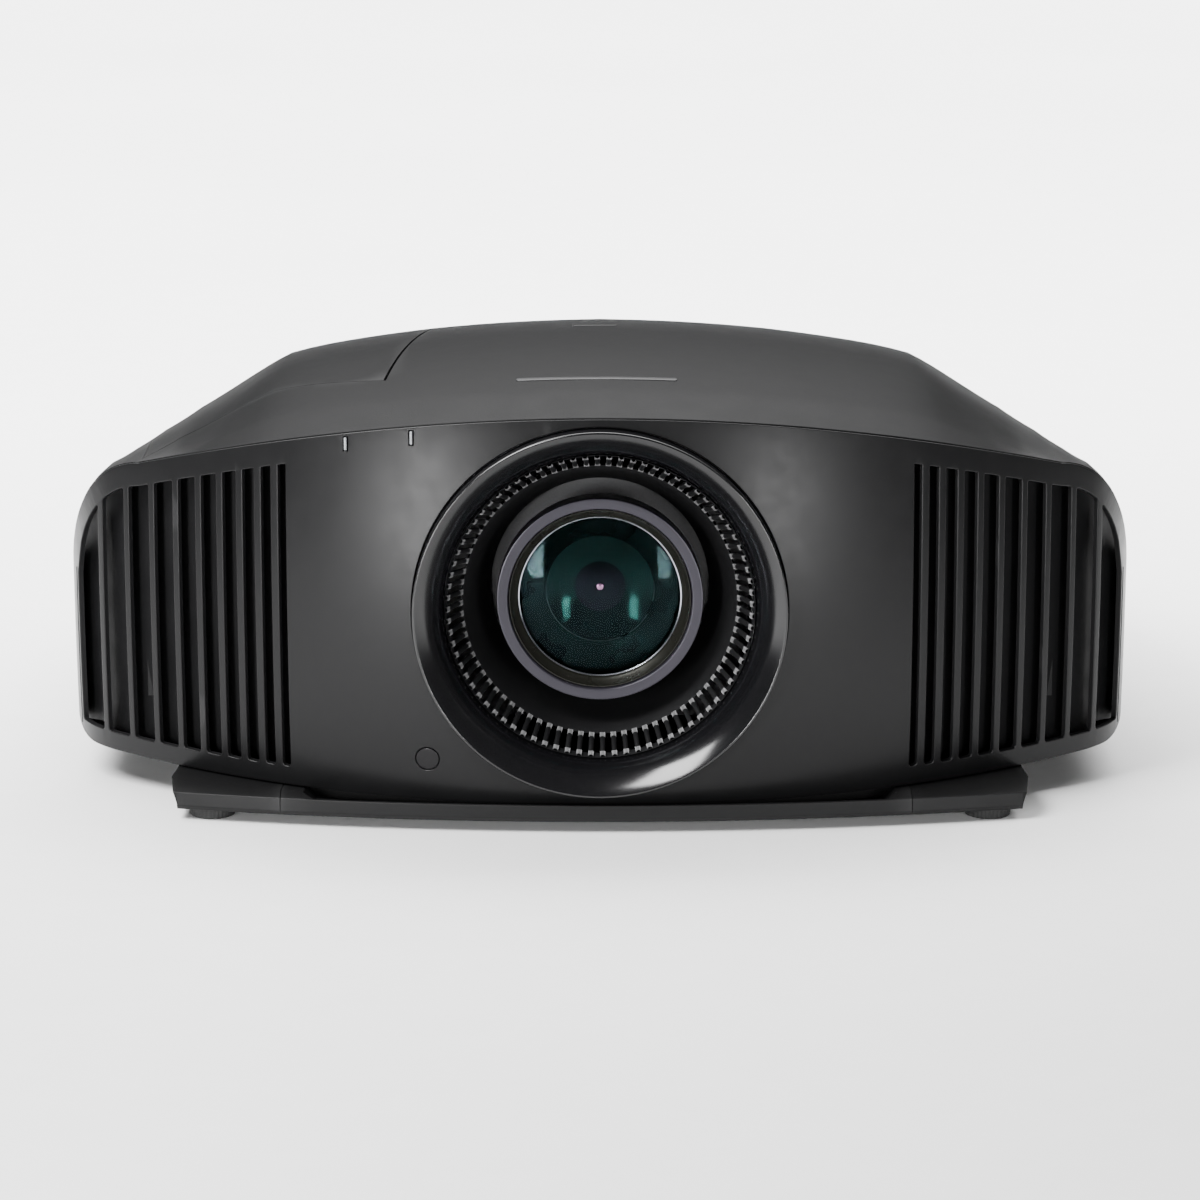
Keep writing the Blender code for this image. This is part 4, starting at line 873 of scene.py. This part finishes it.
def make_roof():
    cover = piece("cover_skin", *grid_plate(roof_grid(), WALL, 0.0007), "cover_shell",
                  replaced=("top_cover",))
    lid = piece("lamp_lid", *grid_plate(roof_grid(), WALL, 0.0007), "cover_shell", "lamp_cover",
                replaced=("lamp_cover",))
    grown = ((-0.0978, -0.1568), (-0.0745, 0.0204), (-0.2154, 0.0204), (-0.2154, -0.1054))
    pierced(cover, *prism(grown, 0.10, 0.25))
    for near, far, (start, end), (low, high), margin in ((0.20, 0.26, TRAY_Y, TRAY_Z, 0.002),
                                                         (-0.26, -0.20, KEYS_Y, KEYS_Z, 0.003)):
        start, end = start + margin, end - margin
        window = ((near, start), (far, start), (far, end), (near, end))
        pierced(cover, *prism(window, low + 0.002, high - 0.002))
    pierced(lid, *prism(LAMP_COVER, 0.10, 0.25), "INTERSECT")
    x, y = LAMP_SCREW
    turns = [2 * math.pi * k / 48 for k in range(48)]
    pocket = [(x + SCREW_POCKET_R * math.cos(turn), y + SCREW_POCKET_R * math.sin(turn)) for turn in turns]
    pierced(lid, *prism(pocket, 0.15, 0.22))
    seat = LAMP_SEAT
    boss = [(0.0068, seat + 0.0048), (0.0068, seat - 0.0014), (0.0062, seat - 0.0020),
            (0.0028, seat - 0.0020),
            (0.0028, seat - 0.0003), (0.0031, seat), (0.0049, seat), (0.0052, seat + 0.0003),
            (0.0052, seat + 0.0048)]
    piece("lid_boss", *turned(boss, (x, y, 0.0), "Z", 64), "cover_shell", "lamp_cover")
    for made in (cover, lid):
        made.data.shade_smooth()
        made.data.set_sharp_from_angle(angle=math.radians(34))
        weighted(made)
    for name, x0, x1, y0, y1 in (("inlay_front", -0.038, 0.035, -0.1815, -0.1782),
                                 ("inlay_rear", -0.0130, 0.0080, -0.0690, -0.0668)):
        reach = (y1 - y0) / 2
        ends = [(x1 - reach + reach * math.cos(t), y0 + reach + reach * math.sin(t))
                for t in np.linspace(-math.pi / 2, math.pi / 2, 9)]
        ends += [(x0 + reach - reach * math.cos(t), y0 + reach - reach * math.sin(t))
                 for t in np.linspace(-math.pi / 2, math.pi / 2, 9)]

        def on_roof(x, middle_y):
            place = placer(middle_y)[0]
            px, py, pz = place(x, roof_z(middle_y) - x * x / CROWN)
            return (px, py, pz + 0.00018)
        piece(name, *skin(on_roof, [dense(ends, 0.003)], 0.0006, 0.0002, 0.004), INLAY, "chassis",
              "cover_shell")


def back_outline():
    end = plan_run(BACK_HALF, *BACK_PLAN)
    share = BACK_HALF / HALF
    right = []
    for step in range(61):
        run = end * step / 60
        x = plan_place(run, *BACK_PLAN)[0]
        right.append((run, pan_z(x / share, HALF)))
    for step in FINE[::-1]:
        x, z = shoulder_point(step, roof_z(BACK_MIDDLE_Y), BACK_HALF)
        right.append((plan_run(x, *BACK_PLAN), z))
    return dense(right[:-1] + [(-run, z) for run, z in right[:0:-1]], 0.008)


def make_back():
    loops = [back_outline()]
    for side in (-1, 1):
        for step in range(9):
            z, inner, outer = 0.040 + step * 0.008, side * 0.018, side * (0.150 - 0.004 * step)
            shape = rounded([(inner, z), (outer, z), (outer, z + 0.0035), (inner, z + 0.0035)], 0.0017)
            loops.append(dense([(plan_run(x, *BACK_PLAN), level) for x, level in shape], 0.006))
    weighted(piece("rear_face", *skin(back_surface, loops, WALL, 0.0006, 0.010), "case_shell",
                   replaced=("rear_panel",)))


def make_pan():
    weighted(piece("pan_skin", *grid_plate(pan_grid(), WALL, 0.0006), "case_shell",
                   replaced=("bottom_pan",)))


def tray_column(x):
    across = min(abs(x), TRAY_HALF)
    chin_y = TRAY_FRONT + across * across / (2 * TRAY_RADIUS)
    face_z = case_bottom(across)
    face = FRONT + plan_drop(across, *FACE_PLAN)[0] + bulge(face_z)
    step_y = face + 0.0060
    if across <= CHIN_HALF:
        lip = [(chin_y, CHIN_TOP), (chin_y + 0.0022, CHIN_TOP), (chin_y + 0.0024, 0.0075), (step_y, 0.0075)]
    else:
        lip_z = face_z - 0.0006
        lip = [(chin_y + 0.0008, CHIN_TOP), (chin_y + 0.35 * (face - chin_y), lip_z + 0.0020),
               (face - 0.0006, lip_z), (step_y, lip_z)]
    return [(TRAY_BACK, TRAY_BOTTOM), (chin_y + 0.0015, TRAY_BOTTOM), (chin_y, TRAY_BOTTOM + 0.002), *lip,
            (step_y + 0.0004, TRAY_TOP), (TRAY_BACK, TRAY_TOP)]


BASE_SEAMS = (-0.145, 0.1416)


def make_base():
    places = [0.013 * step for step in range(10)] + [CHIN_HALF, CHIN_HALF + 0.005]
    places += [0.142, 0.150, 0.158, 0.166, 0.174, 0.182, 0.189, 0.193, 0.196]
    loops = []
    for x in [-p for p in places[:0:-1]] + places:
        lean = math.copysign(0.0045, x) if abs(x) == places[-1] else 0.0
        loops.append([(x - lean * (1 - (z - TRAY_BOTTOM) / (TRAY_TOP - TRAY_BOTTOM)), y, z) for y,
                      z in tray_column(x)])
    count = len(loops[0])
    points = [point for loop in loops for point in loop]
    faces = [tuple(range(count))[::-1], tuple(range(len(points) - count, len(points)))]
    for row in range(len(loops) - 1):
        faces += [(row * count + k, row * count + (k + 1) % count, (row + 1) * count + (k + 1) % count,
                   (row + 1) * count + k) for k in range(count)]
    base = piece("base_plinth", points, faces, "base_shell", replaced=("base_tray",))
    edge = base.modifiers.new("edges", "BEVEL")
    edge.width, edge.segments, edge.limit_method, edge.angle_limit = 0.0007, 3, "ANGLE", math.radians(28)
    bpy.context.view_layer.update()
    result = bpy.data.meshes.new_from_object(base.evaluated_get(bpy.context.evaluated_depsgraph_get()))
    base.modifiers.remove(edge)
    base.data = result
    result.name = "base_plinth"
    for side in (-1, 1):
        pocket = [(0.00001, -0.01), (POCKET_R, -0.01), (POCKET_R, POCKET_Z), (0.0040, POCKET_Z),
                  (0.0040, 0.0146),
                  (0.00001, 0.0146)]
        pierced(base, *turned(pocket, (side * FRONT_FOOT[0], FRONT_FOOT[1], 0.0), "Z", 48))
    for x in BASE_SEAMS:
        front = tray_column(x)[2:7]
        outline = [(-0.26, -0.01), (front[0][0] + 0.0006, -0.01)] + [(y + 0.0006, z - 0.0003) for y,
                                                                     z in front]
        outline += [(front[-1][0] + 0.0006, 0.03), (-0.26, 0.03)]
        points, faces = prism(outline, x - 0.00025, x + 0.00025)
        pierced(base, [(level, y, z) for y, z, level in points], faces)
    base.data.shade_smooth()
    base.data.set_sharp_from_angle(angle=math.radians(34))
    weighted(base)
    ribs = []
    for x in (-0.110, -0.083, 0.0785, 0.1056):
        y = TRAY_FRONT + x * x / (2 * TRAY_RADIUS)
        ribs.append(((x - 0.0006, y + 0.0020, 0.0070), (x + 0.0006, y + 0.0058, 0.0118)))
    soft_boxes("chin_ribs", ribs, "base_shell")


# ---------------------------------------------------------------- feet

def make_feet():
    for side, label in ((-1, "left"), (1, "right")):
        place = (side * FRONT_FOOT[0], FRONT_FOOT[1], 0.0)
        top = POCKET_Z - 0.0010
        outline = [(0.00001, 0.0), (0.0075, 0.0), (0.0078, 0.0005), (0.0086, 0.0005), (0.0089, 0.0),
                   (FOOT_R - 0.0012, 0.0),
                   (FOOT_R - 0.0003, 0.0004), (FOOT_R, 0.0012), (FOOT_R, top - 0.0006),
                   (FOOT_R - 0.0006, top), (0.00001, top)]
        piece("front_foot_" + label, *turned(outline, place, "Z", 192, (FOOT_R - 0.0002, 32, 0.0004)),
              "foot_rubber",
              "foot_wheel_" + label, "foot_rubber", ("foot_wheel_" + label,))
        back = (side * REAR_FOOT[0], REAR_FOOT[1], 0.0)
        outline = [(0.00001, 0.0), (0.0085, 0.0), (0.0088, 0.0005), (0.0096, 0.0005), (0.0099, 0.0),
                   (0.0108, 0.0),
                   (0.0116, 0.0004), (0.0120, 0.0012), (0.0120, 0.0042), (0.0115, 0.0047), (0.00001, 0.0047)]
        piece("rear_pad_" + label, *turned(outline, back, "Z", 96), "foot_rubber",
              replaced=("rear_foot_" + label,))


# ---------------------------------------------------------------- lens ring and lens

FUNNEL_TURN = (34, 79)


def make_rings():
    cone = []
    first, last = (math.radians(turn) for turn in FUNNEL_TURN)
    start, end = (RING_R - 0.0014, FRONT + 0.0002), (BAND_OUTER[0] + 0.0006, BAND_OUTER[1])
    for turn in np.linspace(first, last, 15):
        inwards = (math.sin(turn) - math.sin(first)) / (math.sin(last) - math.sin(first))
        deeper = (math.cos(first) - math.cos(turn)) / (math.cos(first) - math.cos(last))
        cone.append((start[0] + (end[0] - start[0]) * inwards, start[1] + (end[1] - start[1]) * deeper))
    rim = [(RING_R, -0.2215), (RING_R, FRONT + 0.0010), (RING_R - 0.0003, FRONT + 0.0003),
           (RING_R - 0.0009, FRONT)]
    back = [(BAND_OUTER[0] + GAP, -0.2105), (RING_R - 0.0045, -0.2225), (RING_R - 0.0025, -0.2205)]
    weighted(piece("funnel_ring", *turned(rim + cone + back, AXIS, steps=256), "ring_gloss",
                   replaced=("lens_ring",), angle=50))
    rail = (BAND_INNER[0] + 0.0012, BAND_INNER[1] - 0.0023)
    profile = [THROAT, (0.0555, -0.1812), (BAND_INNER[0] - 0.0008, BAND_INNER[1] + 0.0018),
               (BAND_INNER[0] - 0.0001, BAND_INNER[1] + 0.0002), BAND_INNER, rail,
               (rail[0], rail[1] + 0.0045), (BAND_INNER[0] + 0.0015, BAND_INNER[1] + 0.0030),
               (0.0570, -0.1795), (THROAT[0] + 0.0021, THROAT[1] + 0.0008)]
    parts = [turned(profile, AXIS, steps=240)]
    outer_rail = [(BAND_OUTER[0], BAND_OUTER[1] + 0.0002), (BAND_OUTER[0], BAND_OUTER[1] + 0.0050),
                  (BAND_OUTER[0] - 0.0010, BAND_OUTER[1] + 0.0050),
                  (BAND_OUTER[0] - 0.0010, BAND_OUTER[1] + 0.0030)]
    parts.append(turned(outer_rail, AXIS, steps=240))
    fins, highlight_tips = [], []
    behind = np.array((0.0, 1.0, 0.0))
    for step in range(TEETH):
        turn = 2 * math.pi * (step + 0.23) / TEETH
        across = np.array((math.cos(turn), 0.0, math.sin(turn)))
        side = np.array((-math.sin(turn), 0.0, math.cos(turn)))
        inner = np.array((0.0, rail[1], AXIS_Z)) + across * (rail[0] - 0.0002)
        outer = np.array((0.0, BAND_OUTER[1] + 0.0004, AXIS_Z)) + across * (BAND_OUTER[0] - 0.0012)
        along = unit(outer - inner)
        front = unit(np.cross(side, along))
        front = -front if front[1] > 0 else front
        fins.append(bar(inner, outer, side, front, behind * 0.0040, 0.00115))
        # Short light bars on each fin's outer and inner end: a painted highlight for the light the rounded
        # fin ends catch.
        for place in (outer - along * 0.0011, inner + along * 0.0013):
            start, end = place - along * TIP_HALF, place + along * TIP_HALF
            highlight_tips.append(bar(start + front * 0.00025, end + front * 0.00025, side, front, behind * 0.0006,
                            TIP_HALF))
    piece("vent_band", *merged(parts), "inner_black", replaced=("vent_ring",), angle=50)
    piece("vent_fins", *merged(fins), "inner_black", angle=50)
    piece("vent_fin_painted_highlights", *merged(highlight_tips), FIN_TIP_HIGHLIGHT, "chassis", "inner_black", angle=50)


TIP_HALF = 0.00120


def bar(start, end, side, front, behind, half):
    """A bar from start to end with a rounded front and its back pushed behind that line."""
    turns = [math.pi * k / 6 for k in range(7)]
    section = [side * (-half * math.cos(turn)) + front * (half * math.sin(turn) - half) for turn in turns]
    section += [side * half + behind, side * -half + behind]
    points = [place + offset for place in (start, end) for offset in section]
    count = len(section)
    faces = [tuple(range(count)), tuple(range(count, 2 * count))[::-1]]
    faces += [(k, count + k, count + (k + 1) % count, (k + 1) % count) for k in range(count)]
    return points, faces


HOOD_R, GLASS_R, INNER_R = 0.0468, 0.0372, 0.0247


def bowl(reach, vertex, rise, count):
    """A glass surface from the axis out to its reach; a negative rise comes forward at the rim."""
    return [(max(reach * step / count, 0.00001), vertex + rise * (step / count) ** 2)
            for step in range(count + 1)]


def make_lens():
    barrel = [(HOOD_R - 0.0008, -0.1980), (HOOD_R - 0.0002, -0.1978), (HOOD_R, -0.1972), (HOOD_R, -0.1860),
              (0.0405, -0.1780), (0.0405, -0.1110), (0.0340, -0.1110), (0.0340, -0.0600), (0.0315, -0.0600),
              (0.0315, -0.1135), (0.0380, -0.1135), (0.0380, -0.1838), (0.0412, -0.1838), (0.0412, -0.1928),
              (0.0417, -0.1970), (0.0420, -0.1976), (0.0425, -0.1979)]
    weighted(piece("lens_hood", *turned(barrel, AXIS, steps=224), "lens_metal", "lens_slide",
                   replaced=("lens_barrel",), angle=50))
    ring = [(0.0411, -0.1935), (0.0411, -0.1912), (GLASS_R, -0.1912), (GLASS_R, -0.1916), (0.0380, -0.1925),
            (0.0396, -0.1938), (0.0408, -0.1962), (0.0411, -0.1962)]
    piece("retaining_ring", *turned(ring, AXIS, steps=224), OLIVE, "lens_slide", "lens_metal", angle=50)
    edge = [(GLASS_R - 0.0001, -0.1913), (GLASS_R - 0.0001, -0.1917), (GLASS_R - 0.0006, -0.1914),
            (GLASS_R - 0.0006, -0.1912)]
    piece("glass_edge", *turned(edge, AXIS, steps=224), BRIGHT, "lens_slide", "lens_metal", angle=50)
    front, back = bowl(0.0398, -0.1950, 0.0065, 14), bowl(0.0360, -0.1900, 0.0040, 12)[::-1]
    piece("front_element", *turned(front + [(0.0398, -0.1862)] + back, AXIS, steps=128), "lens_glass",
          "focus_group", replaced=("front_glass",), angle=50)
    tube = [(0.0375, -0.1857), (0.0375, -0.1250), (0.0210, -0.1250), (0.0210, -0.1640), (INNER_R, -0.1690),
            (INNER_R, -0.1753), (INNER_R + 0.0006, -0.1760), (0.0350, -0.1818), (0.0365, -0.1857)]
    piece("front_cell", *turned(tube, AXIS, steps=192), BARREL_REFLECTION_TINT, "focus_group", "inner_black", ("focus_tube",),
          angle=40)
    hollow = bowl(INNER_R - 0.0003, -0.1698, -0.0051, 14)
    rear = bowl(INNER_R - 0.0003, -0.1672, -0.0006, 4)[::-1]
    piece("second_element", *turned(hollow + rear, AXIS, steps=128), SHADED_GLASS_TINT, "focus_group", "lens_glass",
          angle=50)
    for number, (radius, place) in enumerate(((0.0206, -0.1655), (0.0163, -0.1585)), 1):
        step = [(radius, place), (radius, place + 0.0020), (radius - 0.0035, place + 0.0020),
                (radius - 0.0035, place + 0.0012)]
        piece("inner_step_%d" % number, *turned(step, AXIS, steps=128), BARREL_REFLECTION_TINT, "focus_group", "inner_black",
              angle=40)
    dome, flat = bowl(0.0127, -0.1716, 0.0008, 10), bowl(0.0127, -0.1699, 0.0, 2)[::-1]
    piece("third_element", *turned(dome + flat, AXIS, steps=96), PINK_FILM, "focus_group", "lens_glass",
          angle=50)
    # A small pink bead in front of the inner elements: a painted reflection of the glint from a deeper lens
    # surface.
    pupil, flat = bowl(0.0015, -0.1722, 0.0003, 6), bowl(0.0015, -0.1715, 0.0, 2)[::-1]
    piece("pupil_glint", *turned(pupil + flat, AXIS, steps=48), PINK, "focus_group", "lens_glass", angle=50)


# ---------------------------------------------------------------- sides: sockets and keys

def make_sockets():
    floor = TRAY_FLOOR_X + 0.0010
    tongues, contacts = [], []
    for z in (0.0790, 0.0630):
        tongues.append(((floor - 0.0110, -0.0640, z - 0.0004), (floor - 0.0022, -0.0520, z + 0.0008)))
        contacts += [((floor - 0.0100, -0.0632 + 0.0012 * k, z - 0.00055),
                      (floor - 0.0030, -0.0626 + 0.0012 * k, z - 0.0003))
                     for k in range(9)]
    tongues.append(((floor - 0.0130, -0.0395, 0.0677), (floor - 0.0010, -0.0285, 0.0688)))
    contacts += [((floor - 0.0120, -0.0385 + 0.0012 * k, 0.0672),
                  (floor - 0.0030, -0.0379 + 0.0012 * k, 0.0678))
                 for k in range(8)]
    tongues.append(((floor - 0.0120, -0.0392, 0.0812), (floor - 0.0020, -0.0288, 0.0824)))
    soft_boxes("socket_tongues", tongues, "inner_black")
    soft_boxes("socket_contacts", contacts, GOLD, "chassis", "socket_metal", 0.0001, 1)
    hexes = []
    for y in (-0.0175, 0.0085):
        ring = [(0.0017, floor - 0.0002), (0.0029, floor - 0.0002), (0.0029, floor + 0.0028),
                (0.0017, floor + 0.0028)]
        hexes.append(turned(ring, (0.0, y, 0.06375), "X", 6))
    piece("serial_nuts", *merged(hexes), "screw_steel", smooth=False)
    pins = []
    for row, count, z in ((0, 5, 0.0652), (1, 4, 0.0626)):
        pins += [((floor + 0.0052, -0.0100 + 0.0028 * k + 0.0014 * row - 0.0005, z - 0.0005),
                  (floor + 0.0058, -0.0100 + 0.0028 * k + 0.0014 * row + 0.0005, z + 0.0005))
                  for k in range(count)]
    soft_boxes("serial_pins", pins, GOLD, "chassis", "socket_metal", 0.0002, 1)
    rings = []
    for step in range(3):
        ring = [(0.00178, floor - 0.0005), (0.0031, floor - 0.0002), (0.0031, floor + 0.0006),
                (0.0026, floor + 0.0010),
                (0.00178, floor + 0.0010)]
        rings.append(turned(ring, (0.0, -0.0140 + 0.0095 * step, 0.0790), "X", 40))
    piece("jack_collars", *merged(rings), PALE, "chassis", "inner_black", angle=40)
    soft_boxes("mains_pins", [((0.2062, 0.0400 + y - 0.0011, 0.0705 + z - 0.0021),
                               (0.2188, 0.0400 + y + 0.0011, 0.0705 + z + 0.0021))
                              for y, z in ((-0.0070, -0.0020), (0.0070, -0.0020), (0.0, 0.0025))],
               "socket_metal", "chassis", "socket_metal", 0.0004, 3)
    frame_bars = [((floor - 0.0002, 0.0243, 0.0592), (floor + 0.0007, 0.0276, 0.0818)),
                  ((floor - 0.0002, 0.0524, 0.0592), (floor + 0.0007, 0.0557, 0.0818)),
                  ((floor - 0.0002, 0.0270, 0.0592), (floor + 0.0007, 0.0530, 0.0620)),
                  ((floor - 0.0002, 0.0270, 0.0790), (floor + 0.0007, 0.0530, 0.0818))]
    soft_boxes("mains_frame", frame_bars, "inner_black")


KEYS = {
    "power_key": (-0.062, 0.0740, 0.0090, 0.0090), "input_key": (-0.044, 0.0800, 0.0100, 0.0055),
    "menu_key": (-0.044, 0.0680, 0.0100, 0.0055), "lens_key": (-0.027, 0.0740, 0.0100, 0.0055),
    "up_key": (0.008, 0.0840, 0.0070, 0.0055), "down_key": (0.008, 0.0640, 0.0070, 0.0055),
    "left_key": (-0.005, 0.0740, 0.0055, 0.0070), "right_key": (0.021, 0.0740, 0.0055, 0.0070),
    "enter_key": (0.008, 0.0740, 0.0080, 0.0080),
}
ARROWS = {"up_key": (0, 1), "down_key": (0, -1), "left_key": (-1, 0), "right_key": (1, 0)}


def make_keys():
    for name, (y, z, width, height) in KEYS.items():
        low = (KEY_PANEL_X - 0.0018, y - width / 2, z - height / 2)
        high = (KEY_PANEL_X + 0.0040, y + width / 2, z + height / 2)
        soft_boxes(name + "_cap", [(low, high)], "key_plastic", name, "key_plastic", 0.0008, 4, (name,))
        front = low[0]
        if name in ARROWS:
            dy, dz = ARROWS[name]
            tip = [(dy * 0.0014, dz * 0.0014), (-dy * 0.0008 + dz * 0.0014, -dz * 0.0008 + dy * 0.0014),
                   (-dy * 0.0008 - dz * 0.0014, -dz * 0.0008 - dy * 0.0014)]
            points = [(front + x, y + a, z + b) for x in (-0.00008, 0.0004) for a, b in tip]
            faces = [(0, 1, 2), (5, 4, 3), (0, 3, 4, 1), (1, 4, 5, 2), (2, 5, 3, 0)]
            piece(name + "_mark", points, faces, MARK, name, "key_plastic", smooth=False)
        else:
            ring = [(0.0012, front - 0.00008), (0.0016, front - 0.00008), (0.0016, front + 0.0004),
                    (0.0012, front + 0.0004)]
            piece(name + "_mark", *turned(ring, (0.0, y, z), "X", 40), MARK, name, "key_plastic", angle=50)


# ---------------------------------------------------------------- floor, lights and camera

def area_light(name, place, target, size, power, spread):
    data = bpy.data.lights.new(name, "AREA")
    data.shape = "RECTANGLE"
    data.size, data.size_y = size
    data.energy = power
    data.spread = math.radians(spread)
    lamp = bpy.data.objects.new(name, data)
    lamp.location = place
    lamp.rotation_euler = (Vector(target) - Vector(place)).to_track_quat("-Z", "Y").to_euler()
    bpy.context.scene.collection.objects.link(lamp)


CAMERA_TARGET = (0.0, -0.215, 0.105)
CAMERA_DISTANCE, CAMERA_ELEVATION, CAMERA_LENS, SENSOR_WIDTH = 2.0, 13.5, 133.7, 36.0
WORLD_STRENGTH = 0.12
# Each light: name, place, target, width and height, watts and how wide it shines in degrees
LIGHTS = (
    ("overhead", (0.0, 3.05, 1.1), (0.0, 3.05, 0.0), (8.0, 6.0), 1000.0, 110),
    ("left_strip", (-0.50, -1.10, 0.16), (-0.09, -0.22, 0.12), (0.12, 0.30), 9.0, 180),
    ("right_strip", (0.50, -1.10, 0.16), (0.09, -0.22, 0.12), (0.10, 0.30), 5.0, 180),
    ("left_softbox", (-0.74, -0.72, 1.30), (0.03, -0.23, 0.03), (0.8, 0.7), 60.0, 180),
)


def make_stage():
    mesh = bpy.data.meshes.new("floor")
    mesh.from_pydata([(-8, -8, 0), (8, -8, 0), (8, 12, 0), (-8, 12, 0)], [], [(0, 1, 2, 3)])
    floor = bpy.data.objects.new("floor", mesh)
    bpy.context.scene.collection.objects.link(floor)
    mesh.materials.append(material("pale_floor", (0.86, 0.86, 0.86), 0.60, grain=(40.0, 0.00002),
                                   mottle=0.01))
    world = bpy.data.worlds.new("studio")
    world.use_nodes = True
    world.node_tree.nodes["Background"].inputs["Color"].default_value = (1.0, 1.0, 1.0, 1.0)
    world.node_tree.nodes["Background"].inputs["Strength"].default_value = WORLD_STRENGTH
    bpy.context.scene.world = world
    for name, *light in LIGHTS:
        area_light(name, *light)
    turn = math.radians(CAMERA_ELEVATION)
    place = Vector(CAMERA_TARGET) + CAMERA_DISTANCE * Vector((0.0, -math.cos(turn), math.sin(turn)))
    data = bpy.data.cameras.new("camera")
    data.lens, data.sensor_width = CAMERA_LENS, SENSOR_WIDTH
    data.clip_start = 0.05
    camera = bpy.data.objects.new("camera", data)
    camera.location = place
    camera.rotation_euler = (Vector(CAMERA_TARGET) - place).to_track_quat("-Z", "Y").to_euler()
    bpy.context.scene.collection.objects.link(camera)
    bpy.context.scene.camera = camera


def dress_nodes():
    """Each solid that stays visible takes its slot's finish."""
    for part in frame["record"]["subparts"]:
        for slot in NODES[part["node"]].material_slots:
            slot.material = FINISHES[part["material_slot"]]


make_stage()
dress_nodes()
make_face()
make_roof()
make_back()
make_pan()
make_base()
make_feet()
make_rings()
make_lens()
make_sockets()
make_keys()
